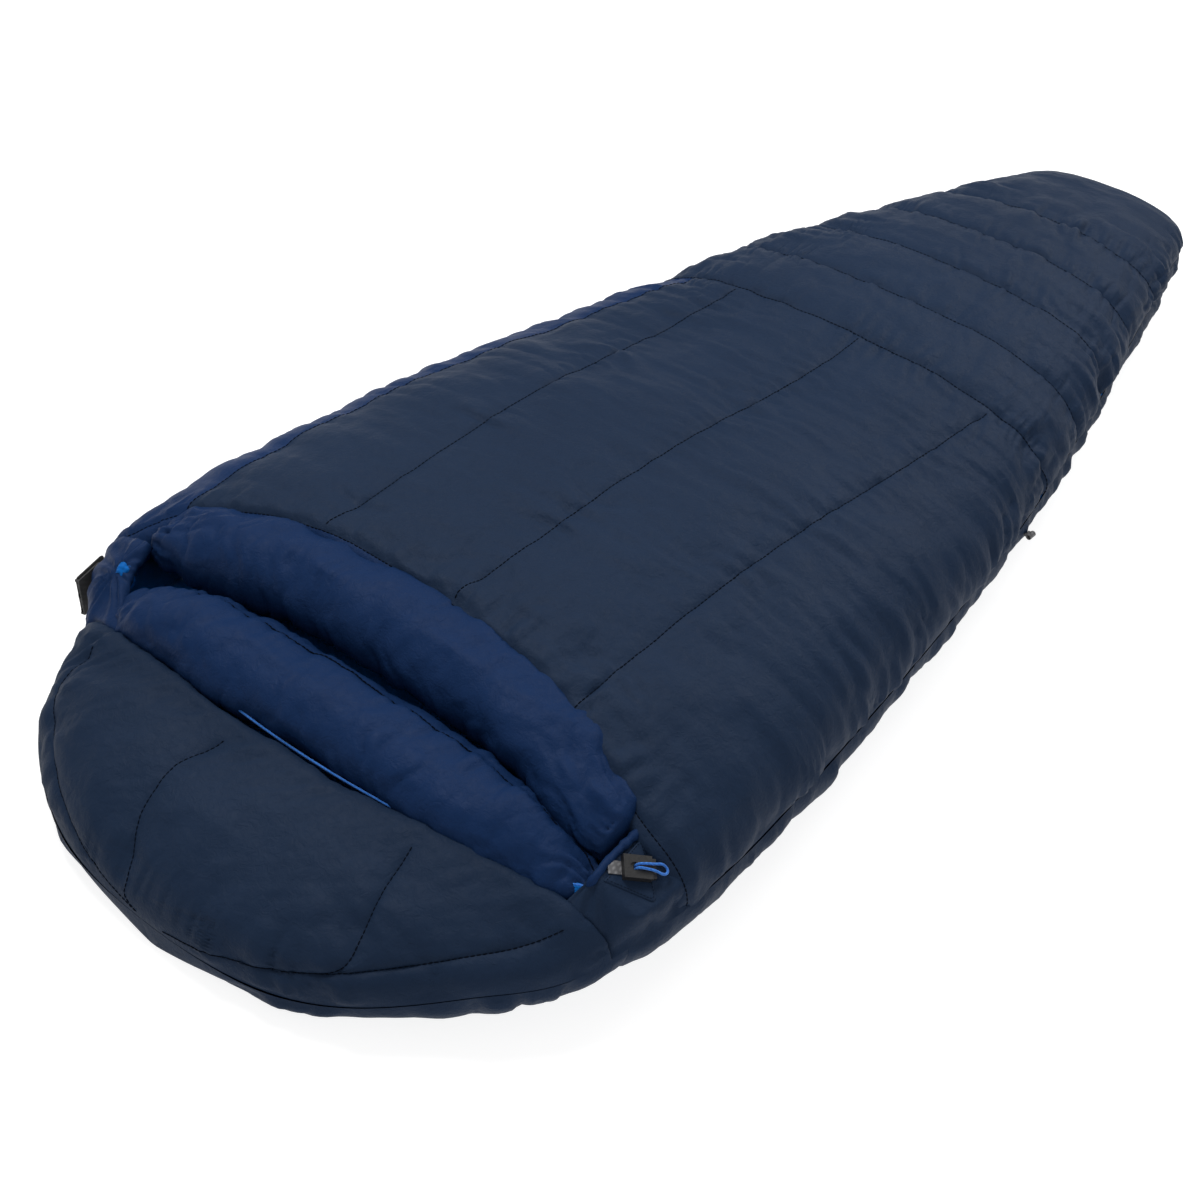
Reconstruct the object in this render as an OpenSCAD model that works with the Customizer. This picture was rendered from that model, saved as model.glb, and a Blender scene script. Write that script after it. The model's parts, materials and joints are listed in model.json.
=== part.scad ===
// Down-filled sleeping bag with a tapered rectangular cut, closed and lofted, lying on its back.
// The head is at -Y, the foot at +Y and the underside at Z = 0. Units are millimetres.

/* [Bag] */
// Overall length from the crown of the hood to the end of the foot box
bag_len = 2100; // [2050:10:2150]
// Full width across the shoulders
shoulder_w = 982; // [960:2:1000]
// Full width across the hips
hip_w = 818; // [800:2:830]
// Full width across the shins
shin_w = 528; // [500:2:540]
// Full width just before the foot end
foot_w = 378; // [360:2:400]
// Height over the chest
chest_h = 260; // [250:1:270]
// Height over the hood
hood_h = 165; // [160:1:175]
// Height over the feet
foot_h = 193; // [185:1:200]

/* [Quilting] */
// Loft of the top quilt, from shell to lining
quilt_t = 34; // [32:1:40]
// Distance between the lengthwise seams of the chest
chest_seam_gap = 225; // [215:1:235]
// Sideways roll of the top quilt, seen in where its middle seam lies
top_roll = 38; // [20:1:50]
// Distance between the crosswise seams of the legs
leg_seam_gap = 134; // [125:1:140]

/* [Zip] */
// Height of the side seam and the zip above the floor
seam_h = 95; // [90:1:100]
// Length of the zip chain
zip_len = 1150; // [1000:10:1200]
// Length of a zip pull
pull_len = 32; // [25:1:36]

/* [Hood cord] */
// Diameter of the elastic hood cord
cord_d = 3.2; // [2.5:0.1:3.6]
// Length of the cord lock
lock_len = 34; // [28:1:38]
// Travel of the cord lock's button
button_travel = 4; // [3:0.5:5]

/* [Hidden] */

navy = "#232f42";
mid_blue = "#23386b";
bright_blue = "#1467b4";
black = "#161618";
grey = "#5b5c60";

// Crosswise stations, measured from the crown of the hood
seam_y = [for (k = [0:4]) 1306 + k*leg_seam_gap];
foot_tip = bag_len;
front_y = 455;          // front edge of the top quilt, at its middle
slit_y = 350;           // gap that the sleeper goes in through
rim_y = 226;            // rim of the hood, at its middle
mouth_half = 400;       // half width of the mouth
neck_y = [300, 398];    // the short stretch of side wall between hood and top quilt
side_panel_y = [342, 398];
mouth_bow = 50;         // how far the top quilt's front edge bows towards the foot

// Cross-section
dome_exp = 0.74;        // exponent of the rounded section, 1 for an ellipse
flank_r = 70;           // radius of the lower flank
hood_seam_h = 75;
slot_half = 7;          // half height of the slot that the zip lies in
lift = 0.6;             // gap between top quilt and base along the hinge side
skin_t = 1.6;           // modelled thickness of a fabric skin
skin_gap = 2.2;         // room between a skin and the down next to it
base_t = 15;            // modelled thickness of the down in the base and in the two collars
hood_t = 28;
quilt_down = [skin_t + skin_gap, quilt_t - skin_t - skin_gap];
hood_down = [skin_t + skin_gap, hood_t - skin_t - skin_gap];
cell_gap = 4;           // room for a baffle wall between two cells
wall_t = 1;
panel_t = 1.6;
head_cap = 400;
foot_cap = 90;
tip_gap = 0.02;         // share of a cap left off, so that no face shrinks to a point
slab_slot = 90;         // depth of the zip slot across the base

// Zip: a straight track inside the left flank
zip_y0 = 352;
zip_x0 = 478;
zip_slope = 0.150;
zip_angle = atan(zip_slope);
tape_gap = 3.5;
chain_r = 1.1;

half_w_at = [[0, 478], [336, shoulder_w/2], [525, shoulder_w/2 - 1], [798, 457], [1092, hip_w/2],
    [1386, 344], [1680, shin_w/2], [1932, foot_w/2], [2047, foot_w/2 - 34], [2200, foot_w/2 - 75]];
height_at = [[0, hood_h - 8], [210, hood_h], [330, 200], [430, 235], [525, chest_h - 6], [840, chest_h],
    [1155, 228], [1470, 219], [1785, foot_h], [2037, foot_h - 43], [2200, foot_h - 63]];

function mix(a, b, t) = a + (b - a)*t;
function smooth(t) = let (c = min(1, max(0, t))) c*c*(3 - 2*c);
function sgn_pow(v, e) = sign(v)*pow(abs(v), e);

// Value at y of a smooth curve through a list of [y, value]
function segment(p, y, i = 0) = i >= len(p) - 2 || y < p[i + 1][0] ? i : segment(p, y, i + 1);
function slope(p, i) = let (a = max(0, i - 1), b = min(len(p) - 1, i + 1))
    (p[b][1] - p[a][1])/(p[b][0] - p[a][0]);
function curve(p, y) = let (
    i = segment(p, y), h = p[i + 1][0] - p[i][0], t = (y - p[i][0])/h,
    m0 = slope(p, i)*h, m1 = slope(p, i + 1)*h)
    (2*t^3 - 3*t^2 + 1)*p[i][1] + (t^3 - 2*t^2 + t)*m0 + (3*t^2 - 2*t^3)*p[i + 1][1] + (t^3 - t^2)*m1;

// Share of the full section left near the two ends, for a surface d below the outside
function head_share(y, d) = let (u = (y - d)/head_cap) u >= 1 ? 1 : sqrt(max(0, 1 - pow(1 - u, 2)));
function foot_share(y, d) = let (u = (foot_tip - d - y)/foot_cap)
    u >= 1 ? 1 : pow(max(0, 1 - pow(1 - u, 3)), 1/3);
function share(y, d) = head_share(y, d)*foot_share(y, d);
function half_w(y, d = 0) = (curve(half_w_at, y) - d)*share(y, d);
function base_top(y) = hood_seam_h + (seam_h - hood_seam_h)*smooth((y - 200)/150);
function rise(y, d) = (curve(height_at, y) - d - base_top(y))*pow(share(y, d), 0.8);
function edge_z(y, a) = base_top(y)
    + (a > 90 && y > zip_y0 - 12 && y < zip_y0 + zip_len + 30 ? slot_half : lift);

// Point of the domed top at y and angle a (0 at the right side, 180 at the left), d below the outside.
// The zip's slot lifts the left side only: it fades out towards the top of the section.
function dome(y, a, d = 0) = let (s = pow(max(0, sin(a)), dome_exp))
    [half_w(y, d)*sgn_pow(cos(a), dome_exp), y - bag_len/2,
    mix(edge_z(y, a), base_top(y) + lift, s) + rise(y, d)*s];
// Angle at which the dome passes over x
function angle_at(y, x, d = 0) = acos(max(-1, min(1, sgn_pow(x/max(1, half_w(y, d)), 1/dome_exp))));

function steps(a, b, n) = [for (i = [0:n]) mix(a, b, i/n)];
// Angles from a to b that are spread evenly over the flat top of the section
function flat_angle(a) = acos(max(-1, min(1, sgn_pow(cos(a), dome_exp))));
function spread(a, b, n) =
    [for (f = steps(flat_angle(a), flat_angle(b), n)) acos(sgn_pow(cos(f), 1/dome_exp))];
// Rows that crowd towards the crown or the foot, where the section shrinks fast
function head_rows(y1, n, d) =
    [for (i = [0:n]) mix(d + head_cap*tip_gap^2, y1, pow(i/n, 1.9))];
function foot_rows(y0, n, d) =
    [for (i = [0:n]) mix(foot_tip - d - foot_cap*tip_gap^2, y0, pow(1 - i/n, 1.9))];

function front_edge(x) = front_y - mouth_bow*pow(min(1, abs(x)/mouth_half), 2);
function rim_edge(x) = rim_y + 48*pow(min(1.1, abs(x)/mouth_half), 2);

// Closed solid between two grids of points with the same rows and columns
module slab(outer, inner) {
    rows = len(outer);
    cols = len(outer[0]);
    pts = concat([for (r = outer) each r], [for (r = inner) each r]);
    n = rows*cols;
    function o(i, j) = i*cols + j;
    function q(i, j) = n + i*cols + j;
    faces = concat(
        [for (i = [0:rows - 2], j = [0:cols - 2]) each [
            [o(i, j), o(i, j + 1), o(i + 1, j + 1)], [o(i, j), o(i + 1, j + 1), o(i + 1, j)],
            [q(i, j), q(i + 1, j + 1), q(i, j + 1)], [q(i, j), q(i + 1, j), q(i + 1, j + 1)]]],
        [for (j = [0:cols - 2]) each [
            [o(0, j + 1), o(0, j), q(0, j)], [o(0, j + 1), q(0, j), q(0, j + 1)],
            [o(rows - 1, j), o(rows - 1, j + 1), q(rows - 1, j)],
            [o(rows - 1, j + 1), q(rows - 1, j + 1), q(rows - 1, j)]]],
        [for (i = [0:rows - 2]) each [
            [o(i, 0), o(i + 1, 0), q(i, 0)], [o(i + 1, 0), q(i + 1, 0), q(i, 0)],
            [o(i + 1, cols - 1), o(i, cols - 1), q(i, cols - 1)],
            [o(i + 1, cols - 1), q(i, cols - 1), q(i + 1, cols - 1)]]]);
    polyhedron(pts, faces, convexity = 6);
}

// Hollow tube that lies across the bag: path(t) gives [x, y, z, radius] for t from -1 to 1
module cross_tube(path, wall, sides = 16) {
    n = len(path);
    function ring(p, r) =
        [for (k = [0:sides - 1]) [p[0], p[1] + r*cos(360*k/sides), p[2] + r*sin(360*k/sides)]];
    pts = concat([for (p = path) each ring(p, p[3])], [for (p = path) each ring(p, p[3] - wall)]);
    function o(i, k) = i*sides + k%sides;
    function q(i, k) = n*sides + i*sides + k%sides;
    faces = concat(
        [for (i = [0:n - 2], k = [0:sides - 1]) each [
            [o(i, k), o(i + 1, k + 1), o(i, k + 1)], [o(i, k), o(i + 1, k), o(i + 1, k + 1)],
            [q(i, k), q(i, k + 1), q(i + 1, k + 1)], [q(i, k), q(i + 1, k + 1), q(i + 1, k)]]],
        [for (k = [0:sides - 1]) each [
            [o(0, k), o(0, k + 1), q(0, k)], [o(0, k + 1), q(0, k + 1), q(0, k)],
            [o(n - 1, k + 1), o(n - 1, k), q(n - 1, k)], [o(n - 1, k + 1), q(n - 1, k), q(n - 1, k + 1)]]]);
    polyhedron(pts, faces, convexity = 6);
}

// ---- Base: underside, crosswise down cells and lining ----

base_y = [0, 300, 600, 900, 1200, 1500, 1800, bag_len];

// Right half of the plan outline, inset by d
function outline(d, from = 0, to = bag_len) =
    [for (y = steps(from, to, 40)) [max(3, half_w(y, d)), y - bag_len/2]];
module plan_sheet(d, t) {
    right = outline(d, d + 2, bag_len - d - 2);
    left = [for (i = [len(right) - 1:-1:0]) [-right[i][0], right[i][1]]];
    linear_extrude(t) polygon(concat(right, left));
}

module underside_panel() {
    color(navy) plan_sheet(flank_r, panel_t);
}

// Section of the base from the left flank round the underside to the right flank, d inside the outside
function flank(y, d, side, top) = let (w = half_w(y, d), r = min(flank_r - d, w*0.6)) [for (i = [0:4])
    let (t = i*22.5) [side*(w - r + r*cos(t)), y - bag_len/2, mix(panel_t + 0.4 + d, top, 1 - sin(t))]];
function base_row(y, d) = let (right = flank(y, d, 1, base_top(y) - 1.8))
    concat(flank(y, d, -1, base_top(y) - slot_half), [for (i = [4:-1:0]) right[i]]);
module base_cell(k) {
    y0 = base_y[k] + cell_gap/2;
    y1 = base_y[k + 1] - cell_gap/2;
    function rows(d) = k == 0 ? head_rows(y1, 10, d)
        : k == len(base_y) - 2 ? foot_rows(y0, 10, d) : steps(y0, y1, 4);
    color(navy) slab([for (y = rows(0)) base_row(y, 0)], [for (y = rows(base_t)) base_row(y, base_t)]);
}

module base_baffle_walls() {
    color(mid_blue) for (k = [1:len(base_y) - 2]) {
        y = base_y[k];
        w = half_w(y) - flank_r - slab_slot/2;
        translate([0, y - bag_len/2, 0]) rotate([90, 0, 0]) linear_extrude(wall_t, center = true)
            translate([-w, panel_t + 3]) square([2*w, base_top(y) - panel_t - 10]);
    }
}

module base_lining() {
    rim = base_t + 2;
    rows = concat(head_rows(700, 12, rim), foot_rows(760, 14, rim));
    drop = [2, 3.2];
    function row(y, top) = let (w = max(3, half_w(y, rim)), z = base_top(y) - (top ? drop[0] : drop[1]),
        slot = y > zip_y0 - 60 && y < zip_y0 + zip_len + 30 ? slab_slot : 0)
        [for (x = [w, 0, -w + min(slot, w/2)]) [x, y - bag_len/2, z]];
    color(bright_blue) slab([for (y = rows) row(y, true)], [for (y = rows) row(y, false)]);
}

// ---- Hood ----

hood_frac = [0.9, 0.54, -0.28, -0.8];
hood_ang = concat([0], [for (f = hood_frac) acos(sgn_pow(f, 1/dome_exp))], [180]);

function hood_y1(a) = rim_edge(half_w(rim_y)*sgn_pow(cos(a), dome_exp));
module hood_piece(a0, a1, d0, d1, rows, cols) {
    angles = spread(a0, a1, cols);
    grid = function (d) [for (i = [0:rows]) [for (a = angles) dome(head_rows(hood_y1(a), rows, d)[i], a, d)]];
    slab(grid(d0), grid(d1));
}
module hood_shell() {
    color(navy) hood_piece(0, 180, 0, skin_t, 12, 26);
}
module hood_cell(k) {
    side = 0.7;
    color(navy) hood_piece(hood_ang[k] + (k == 0 ? 0 : side), hood_ang[k + 1] - (k == 4 ? 0 : side),
        hood_down[0], hood_down[1], 10, k == 2 ? 10 : 6);
}
module hood_baffle_walls() {
    color(mid_blue) for (k = [1:4])
        hood_piece(hood_ang[k] - 0.12, hood_ang[k] + 0.12, hood_down[0] + 1, hood_down[1] - 1, 10, 1);
}
module hood_lining() {
    color(bright_blue) hood_piece(0, 180, hood_t - skin_t, hood_t, 10, 20);
}

// ---- Sides of the neck ----

module neck_side_left() {
    color(mid_blue) wall_patch([hood_y1(180) + 4, side_panel_y[0] - 6], 150, 180);
}
module wall_patch(y, a0, a1) {
    t = 20;
    rows = steps(y[0], y[1], 3);
    angles = steps(a0, a1, 5);
    slab([for (r = rows) [for (a = angles) dome(r, a, 0)]],
        [for (r = rows) [for (a = angles) dome(r, a, t)]]);
}
// The right side has a flat seat for the cord patch, and a channel that the cord comes up through
module neck_side_right() {
    color(navy) difference() {
        wall_patch(neck_y, 0, 33);
        lock_frame() translate([-60, -60, 0]) cube([120, 120, 40]);
        lock_frame() translate([strand_x, 0, -channel_z]) rotate([90, 0, 0])
            cylinder(r = channel_z + 1.2, h = 60, $fn = 32);
        lock_frame() translate([strand_x, 0, -2*channel_z - 1.2]) cylinder(r = lock_hole_r, h = 20, $fn = 48);
    }
}
module zip_side_panel() {
    color(mid_blue) wall_patch(side_panel_y, 144, 180);
}

// ---- The two down collars in the mouth ----

function collar_r(t, mid, end) = mix(mid, end, pow(abs(t), 4));
module neck_collar() {
    path = [for (t = steps(-1, 1, 20)) let (y = 292 + 24*t*t, r = collar_r(t, 50, 28))
        [395*t, y - bag_len/2, base_top(y + 40) + r + 0.6, r]];
    color(mid_blue) cross_tube(path, base_t);
}
module upper_collar() {
    path = [for (t = steps(-1, 1, 20)) let (r = collar_r(t, 43, 22))
        [380*t, 406 - 30*t*t - bag_len/2, 171 - 31*t*t, r]];
    color(mid_blue) cross_tube(path, base_t);
}

// ---- Top quilt ----

module dome_piece(rows, a0, a1, d0, d1, cols) {
    angles = spread(a0, a1, cols);
    slab([for (y = rows) [for (a = angles) dome(y, a, d0)]],
        [for (y = rows) [for (a = angles) dome(y, a, d1)]]);
}
// A skin over the whole top quilt, with the bowed front edge
module top_skin(d0, d1, rows, cols) {
    y1 = seam_y[4];
    grid = function (d) concat(
        [for (i = [0:rows]) [for (a = spread(0, 180, cols))
            let (y0 = front_edge(half_w(front_y)*sgn_pow(cos(a), dome_exp)))
            dome(mix(y0, y1, i/rows), a, d)]],
        [for (i = [1:8]) [for (a = spread(0, 180, cols)) dome(foot_rows(y1, 8, d)[i], a, d)]]);
    slab(grid(d0), grid(d1));
}
module top_shell() {
    color(navy) top_skin(0, skin_t, 22, 28);
}
module top_lining() {
    color(bright_blue) top_skin(quilt_t - skin_t, quilt_t, 14, 20);
}

chest_x = [for (k = [-1:1]) top_roll + k*chest_seam_gap];
chest_y1 = seam_y[0];
module chest_strip(x0, x1, d0, d1, rows, cols) {
    lo = function (y, d) x0 == undef ? 180 : angle_at(y, x0, d);
    hi = function (y, d) x1 == undef ? 0 : angle_at(y, x1, d);
    front = front_edge(x0 == undef ? x1 : x1 == undef ? x0 : (x0 + x1)/2) + 8;
    grid = function (d) [for (y = steps(front, chest_y1 - cell_gap/2, rows))
        [for (a = spread(hi(y, d), lo(y, d), cols)) dome(y, a, d)]];
    slab(grid(d0), grid(d1));
}
module chest_cell(k) {
    x0 = k == 0 ? undef : chest_x[k - 1] + cell_gap/2;
    x1 = k == 3 ? undef : chest_x[k] - cell_gap/2;
    color(navy) chest_strip(x0, x1, quilt_down[0], quilt_down[1], 14, k == 0 || k == 3 ? 10 : 6);
}
module chest_baffle_walls() {
    color(mid_blue) for (x = chest_x)
        chest_strip(x - wall_t/2, x + wall_t/2, quilt_down[0] + 1, quilt_down[1] - 1, 14, 1);
}
module leg_cell(k) {
    y0 = seam_y[k] + cell_gap/2;
    function rows(d) = k == 4 ? foot_rows(y0, 9, d) : steps(y0, seam_y[k + 1] - cell_gap/2, 2);
    angles = spread(0, 180, 28);
    grid = function (d) [for (y = rows(d)) [for (a = angles) dome(y, a, d)]];
    color(navy) slab(grid(quilt_down[0]), grid(quilt_down[1]));
}
module leg_baffle_walls() {
    color(mid_blue) for (y = seam_y)
        dome_piece([y - wall_t/2, y + wall_t/2], 4, 176, quilt_down[0] + 1, quilt_down[1] - 1, 24);
}

// ---- Zip ----
// Local frame: origin at the head end of the track, +Y along it towards the foot, -X outwards

module zip_frame() {
    translate([-zip_x0, zip_y0 - bag_len/2, seam_h]) rotate([0, 0, -zip_angle]) children();
}
module zip_tape(side) {
    t = 0.8;
    h = slot_half - tape_gap - 0.2;
    color(black) zip_frame() translate([0.2, 0, side > 0 ? tape_gap : -tape_gap - h]) cube([t, zip_len, h]);
}
module zip_chain(side) {
    color(black) zip_frame() translate([0.6, 20, side*(tape_gap - chain_r - 0.1)]) rotate([-90, 0, 0])
        cylinder(r = chain_r, h = zip_len - 40, $fn = 24);
}
module zip_draft_tube() {
    r = 15;
    color(mid_blue) zip_frame() translate([quilt_t + 26, 90, slot_half + r + 1]) rotate([-90, 0, 0])
        difference() {
            cylinder(r = r, h = zip_len - 120, $fn = 32);
            translate([0, 0, -1]) cylinder(r = r - 4, h = zip_len, $fn = 32);
        }
}
module zip_stop(y, len) {
    color(grey) zip_frame() translate([-0.4, y, -tape_gap + 0.4]) cube([2.4, len, 2*tape_gap - 0.8]);
}
// Slider: two plates joined by a post between the two rows of the chain, with a bail on each plate
slider_len = 12;
module slider(y, inner_bail) {
    plate_w = 12.4;
    plate_t = 1.2;
    reach = 2;
    color(black) zip_frame() translate([0.6, y, 0]) {
        for (s = [-1, 1]) translate([s*(reach + plate_t/2), slider_len/2, 0])
            cube([plate_t, slider_len, plate_w], center = true);
        translate([0, 2, 0]) cube([2*reach + 0.2, 3, 1.6], center = true);
        bail(-1);
        if (inner_bail) bail(1);
    }
}
bail_x = 5.4;
bail_y = 6;
pin_r = 0.7;
// Bail: an upright pin held between two lugs
module bail(s) {
    for (z = [-1, 1]) translate([s*4.2, bail_y, z*5.2]) cube([4, 4, 1], center = true);
    translate([s*bail_x, bail_y, 0]) cylinder(r = pin_r, h = 10.2, center = true, $fn = 24);
}
module pull(y, s) {
    eye_r = 1.6;
    color(s < 0 ? bright_blue : black) zip_frame() translate([0.6 + s*bail_x, y + bail_y, 0]) difference() {
        union() {
            cylinder(r = eye_r, h = 6, center = true, $fn = 32);
            translate([-0.6, 0, -3]) cube([1.2, pull_len, 6]);
        }
        cylinder(r = pin_r + 0.08, h = 20, center = true, $fn = 32);
        translate([0, pull_len - 5, 0]) rotate([0, 90, 0]) cylinder(r = 1.5, h = 10, center = true, $fn = 24);
    }
}
upper_y = 4;
lower_y = zip_len - 18;

// Hook-and-loop garage over the head end of the zip
// Local frame: origin on the flap's hinge line, +Y along the closed flap, -X outwards
garage_pos = [-477, 285, 87];
garage_turn = 14.5;
garage_h = 62;
hinge_pin_r = 0.8;
module garage_frame() {
    translate([garage_pos[0], garage_pos[1] - bag_len/2, garage_pos[2]])
        rotate([0, 0, garage_turn]) children();
}
module garage_flap() {
    len = 58;
    t = 2.4;
    r = 9;
    knuckle_h = garage_h - 12;
    color(black) garage_frame() {
        rotate([0, -90, 0]) linear_extrude(t) {
            translate([-garage_h/2, 2.4]) square([garage_h, len - r]);
            for (s = [-1, 1]) translate([s*(garage_h/2 - r), len - r + 2.4]) circle(r = r, $fn = 48);
            translate([r - garage_h/2, 2.4]) square([garage_h - 2*r, len]);
        }
        translate([-t/2, 0, 0]) difference() {
            union() {
                cylinder(r = 1.8, h = knuckle_h, center = true, $fn = 32);
                translate([-1, 0, -knuckle_h/2]) cube([2, 4, knuckle_h]);
            }
            cylinder(r = hinge_pin_r + 0.08, h = 80, center = true, $fn = 32);
        }
    }
}
module garage_pad() {
    len = 45;
    t = 2;
    pin_len = garage_h - 4;
    color(black) garage_frame() {
        translate([2.2, -1.5, -pin_len/2]) cube([t, len, pin_len]);
        translate([-1.2, 0, 0]) cylinder(r = hinge_pin_r, h = pin_len, center = true, $fn = 32);
        for (s = [-1, 1]) translate([1, 0, s*(pin_len/2 - 1.5)]) cube([6.4, 3, 3], center = true);
    }
}

// ---- Hood cord, its lock and patch on the right side of the neck ----
// Local frame: +X away from the mouth along the sloping side, +Z away from the fabric

lock_pos = [438, 345, 155];
lock_tilt = 27;
function lock_pt(x, y, z) = [lock_pos[0] + x*cos(lock_tilt) + z*sin(lock_tilt), lock_pos[1] - bag_len/2 + y,
    lock_pos[2] - x*sin(lock_tilt) + z*cos(lock_tilt)];
module lock_frame() {
    translate([lock_pos[0], lock_pos[1] - bag_len/2, lock_pos[2]]) rotate([0, lock_tilt, 0]) children();
}
// The lock and its webbing lie turned on the patch, about the hole that the cord comes through
lock_turn = 48;
function turned_pt(x, y, z) = lock_pt(strand_x + (x - strand_x)*cos(lock_turn) - y*sin(lock_turn),
    (x - strand_x)*sin(lock_turn) + y*cos(lock_turn), z);
module turned_frame() {
    lock_frame() translate([strand_x, 0, 0]) rotate([0, 0, lock_turn])
        translate([-strand_x, 0, 0]) children();
}
patch_t = 1.2;
patch_gap = 0.2;
lock_w = 28;
lock_h = 9;
lock_wall = 1.8;
lock_z = patch_gap + patch_t + 0.2 + lock_h/2;
lock_top = lock_z + lock_h/2;
lock_hole_r = 5;
lock_hole_x = -4.5;
strand_x = lock_hole_x + button_travel/2;
channel_z = 2.6;
button_out = 5;
module cord_patch() {
    color(navy) lock_frame() translate([0, 0, patch_gap]) linear_extrude(patch_t) difference() {
        polygon([[-34, -42], [-30, 40], [44, -6]]);
        translate([strand_x, 0]) circle(r = lock_hole_r, $fn = 48);
    }
}
module cord_lock_body() {
    color(black) turned_frame() translate([0, 0, lock_z]) difference() {
        cube([lock_len, lock_w, lock_h], center = true);
        translate([lock_wall, 0, 0])
            cube([lock_len, lock_w - 2*lock_wall, lock_h - 2*lock_wall], center = true);
        translate([lock_hole_x, 0, 0]) cylinder(r = lock_hole_r, h = 20, center = true, $fn = 48);
    }
}
module cord_lock_button() {
    len = lock_len + button_out - lock_wall - button_travel - 1;
    x = lock_len/2 + button_out - len/2;
    color(black) turned_frame() translate([x, 0, lock_z]) difference() {
        cube([len, lock_w - 2*lock_wall - 0.6, lock_h - 2*lock_wall - 0.6], center = true);
        translate([lock_hole_x + button_travel - x, 0, 0])
            cylinder(r = lock_hole_r, h = 20, center = true, $fn = 48);
    }
}
module cord_lock_webbing() {
    t = 1.2;
    color(grey) turned_frame() translate([-lock_len/2 - 16, -8, patch_gap + patch_t + 0.2])
        cube([15.8, 16, t]);
}
// Elastic cord: along the rim of the hood, through its channel, up through the lock and back as a loop
module hood_drawcord() {
    r = cord_d/2;
    function rim_pt(x) = let (y = rim_edge(x) + 3.4, p = dome(y, angle_at(y, x, 8), 8)) [x, p[1], p[2]];
    rim = [for (x = [-360:60:360]) rim_pt(x)];
    run = [[398, 291 - bag_len/2, 151], lock_pt(strand_x, -44, -channel_z),
        turned_pt(strand_x, -2, -channel_z)];
    side = [[0, 0], [strand_x, 2], [strand_x, 2], [9, 3], [20, 4], [28, 6.4], [34, 5]];
    height = [0, -channel_z, lock_top + 2.6, lock_top + 2.8, lock_top + 1.4, lock_top - 1, lock_top - 3.4];
    last = len(side) - 1;
    loop = concat([for (i = [2:last]) turned_pt(side[i][0], -side[i][1], height[i])],
        [turned_pt(37, 0, lock_top - 4.2)],
        [for (i = [last:-1:1]) turned_pt(side[i][0], side[i][1], height[i])]);
    color(bright_blue) cord_sweep(concat(rim, run, loop), r);
}
function unit(v) = v/norm(v);
// Sideways direction at each point, carried along the path without twist
function carried(dirs, u, i = 0) = i >= len(dirs) ? [] :
    let (v = unit(u - (u*dirs[i])*dirs[i])) concat([v], carried(dirs, v, i + 1));
module cord_sweep(path, r, sides = 12) {
    n = len(path);
    dirs = [for (i = [0:n - 1]) unit(unit(path[min(i + 1, n - 1)] - path[max(i - 1, 0)])
        + (i == 0 || i == n - 1 ? [0, 0, 0] : unit(path[i + 1] - path[i]) + unit(path[i] - path[i - 1])))];
    across = carried(dirs, [0, 0, 1]);
    pts = [for (i = [0:n - 1], k = [0:sides - 1]) let (a = 360*k/sides)
        path[i] + r*cos(a)*across[i] + r*sin(a)*cross(dirs[i], across[i])];
    function o(i, k) = i*sides + k%sides;
    polyhedron(pts, concat([[for (k = [0:sides - 1]) o(0, k)], [for (k = [sides - 1:-1:0]) o(n - 1, k)]],
        [for (i = [0:n - 2], k = [0:sides - 1]) each [
            [o(i, k), o(i + 1, k + 1), o(i, k + 1)],
            [o(i, k), o(i + 1, k), o(i + 1, k + 1)]]]), convexity = 6);
}

// ---- Loops ----

eye_r = 3;
loop_t = 1.2;
module webbing_loop(w, tail) {
    rotate([90, 0, 0]) difference() {
        union() {
            cylinder(r = eye_r + loop_t, h = w, center = true, $fn = 32);
            translate([-tail, -loop_t, -w/2]) cube([tail, 2*loop_t, w]);
        }
        cylinder(r = eye_r, h = 2*w, center = true, $fn = 32);
    }
}
loop_w = 12;
side_tail = 7.4;        // webbing between the eye of a side loop and the flank
hang_tail = 5.3;        // the same at the foot
side_loop_y = 1245;
side_loop_z = seam_h - 22;
module side_loops() {
    x = half_w(side_loop_y) + 6;
    color(grey) for (s = [0, 1]) mirror([s, 0, 0])
        translate([x, side_loop_y - bag_len/2, side_loop_z]) webbing_loop(loop_w, side_tail);
}
hang_loop_x = 60;
hang_loop_z = 55;
module hang_loops() {
    color(grey) for (s = [-1, 1]) translate([s*hang_loop_x, bag_len/2 + 4, hang_loop_z])
        rotate([0, 0, 90]) webbing_loop(loop_w, hang_tail);
}

underside_panel();
base_cell(0);  // base_cell_1
base_cell(1);  // base_cell_2
base_cell(2);  // base_cell_3
base_cell(3);  // base_cell_4
base_cell(4);  // base_cell_5
base_cell(5);  // base_cell_6
base_cell(6);  // base_cell_7
base_baffle_walls();
base_lining();
hood_shell();
hood_cell(0);  // hood_cell_1
hood_cell(1);  // hood_cell_2
hood_cell(2);  // hood_cell_3
hood_cell(3);  // hood_cell_4
hood_cell(4);  // hood_cell_5
hood_baffle_walls();
hood_lining();
neck_side_left();
neck_side_right();
neck_collar();
top_shell();
chest_cell(0);  // chest_cell_1
chest_cell(1);  // chest_cell_2
chest_cell(2);  // chest_cell_3
chest_cell(3);  // chest_cell_4
leg_cell(0);  // leg_cell_1
leg_cell(1);  // leg_cell_2
leg_cell(2);  // leg_cell_3
leg_cell(3);  // leg_cell_4
leg_cell(4);  // leg_cell_5
chest_baffle_walls();
leg_baffle_walls();
top_lining();
upper_collar();
zip_side_panel();
zip_tape(1);  // zip_tape_top
zip_chain(1);  // zip_chain_top
zip_draft_tube();
zip_tape(-1);  // zip_tape_base
zip_chain(-1);  // zip_chain_base
zip_stop(-3, 2.5);  // zip_top_stop
zip_stop(zip_len + 0.5, 5);  // zip_bottom_stop
slider(upper_y, true);  // upper_slider
pull(upper_y, -1);  // upper_pull
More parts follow.
